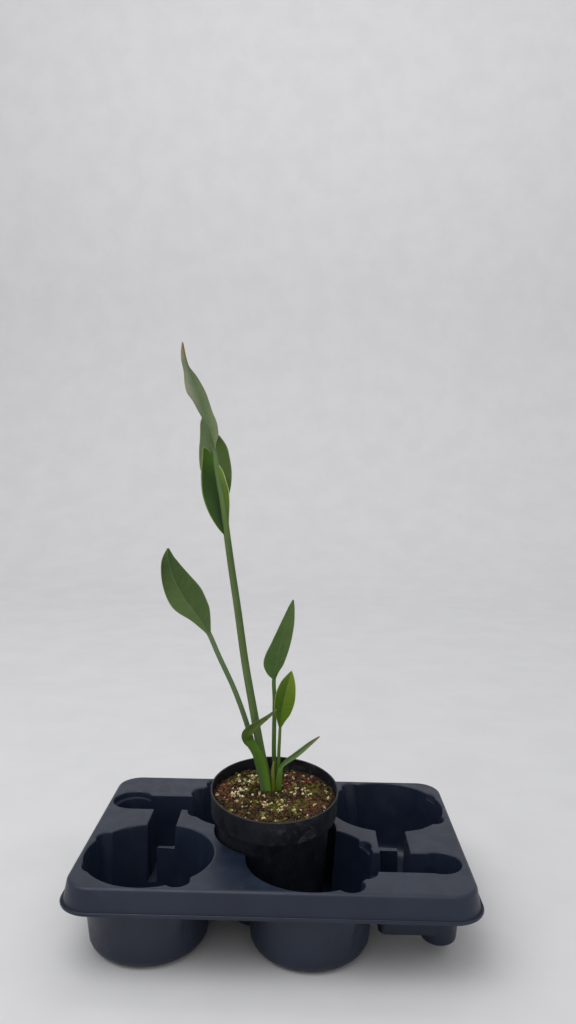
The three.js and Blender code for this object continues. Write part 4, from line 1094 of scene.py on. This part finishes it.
def make_leaf(leaf, material):
    bm = bmesh.new()
    bm.loops.layers.uv.new("leaf")
    bm.verts.layers.float_color.new("tone")
    way = leaf_route(leaf)
    add_rows(bm, leaf_rows(leaf, *way))
    for lobe in leaf.get("lobes", ()):
        add_rows(bm, lobe_rows(lobe, *way))
    bmesh.ops.recalc_face_normals(bm, faces=bm.faces)
    piece = to_object(leaf["name"] + "_fine", bm, material)
    settle(shade(piece), leaf["name"])


def make_leaves():
    tall = leaf_finish("leaf_green_tall", 190, 26)
    dark = leaf_finish("leaf_green_dark", 110, 20, (0.3, (108, 130, 82)), (0.55, (126, 144, 90)))
    bright = leaf_finish("leaf_green_bright", 65, 11, (0.45, (122, 150, 68)), (0.7, (158, 166, 78)))
    olive = leaf_finish("leaf_green_olive", 45, 5, (0.3, (80, 92, 44)), (0.4, (98, 100, 54)),
                        (0.8, (58, 44, 20)))
    yellow = leaf_finish("sheath_dry", 30, 3, (0.2, (150, 142, 80)), (0.2, (150, 142, 80)))
    for leaf, finish in zip(LEAVES, (tall, dark, dark, bright, olive, tall, yellow)):
        make_leaf(leaf, finish)


# ---- the stage

def soft_lamp(name, place, aim, size, energy):
    lamp = bpy.data.lights.new(name, "AREA")
    lamp.shape = "RECTANGLE"
    lamp.size, lamp.size_y = size
    lamp.energy = energy
    holder = bpy.data.objects.new(name, lamp)
    holder.location = place
    holder.rotation_euler = (Vector(aim) - Vector(place)).to_track_quat("-Z", "Y").to_euler()
    scene.collection.objects.link(holder)


def set_stage():
    """A pale table that curves up into a wall, a soft window light and one for the wall."""
    wall_at, radius = 3200, 1300
    outline = [(-4000, 0), (wall_at - radius, 0)]
    outline += [(wall_at - radius + radius * sine, radius - radius * cosine)
                for sine, cosine in quarter_turn(12)[1:]]
    outline.append((wall_at, 4500))
    bm = skinned([[Vector((x, y, z)) for x in (-6000, 6000)] for y, z in outline], close_ends=False)
    f = Finish("pale_table")
    cloud = f.spread(f.grain(9, 3), 0.3, 0.7)
    pale = f.set(Base_Color=f.mix(cloud, colour(209, 209, 210), colour(213, 213, 214)),
                 Roughness=0.7, Specular_IOR_Level=0.2)
    shade(to_object("pale_table", bm, pale))

    world = bpy.data.worlds.new("studio")
    world.use_nodes = True
    sky = world.node_tree.nodes["Background"].inputs
    sky["Color"].default_value = (0.9, 0.9, 0.91, 1)
    sky["Strength"].default_value = 0.74
    scene.world = world

    soft_lamp("soft_window", (-0.6, -0.7, 1.9), (0, 0, 0.2), (1.8, 1.4), 19)
    soft_lamp("wall_light", (0, 1.3, 3), (0, 3.2, 1.3), (4, 1.4), 26)
    scene.view_settings.view_transform = "Standard"


make_tray(tray_plastic())
make_pot(pot_plastic())
make_soil(potting_mix())
make_soil_bits()
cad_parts["root_crown"].data.materials.clear()
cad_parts["root_crown"].data.materials.append(fleshy_root())
make_leaves()
set_stage()
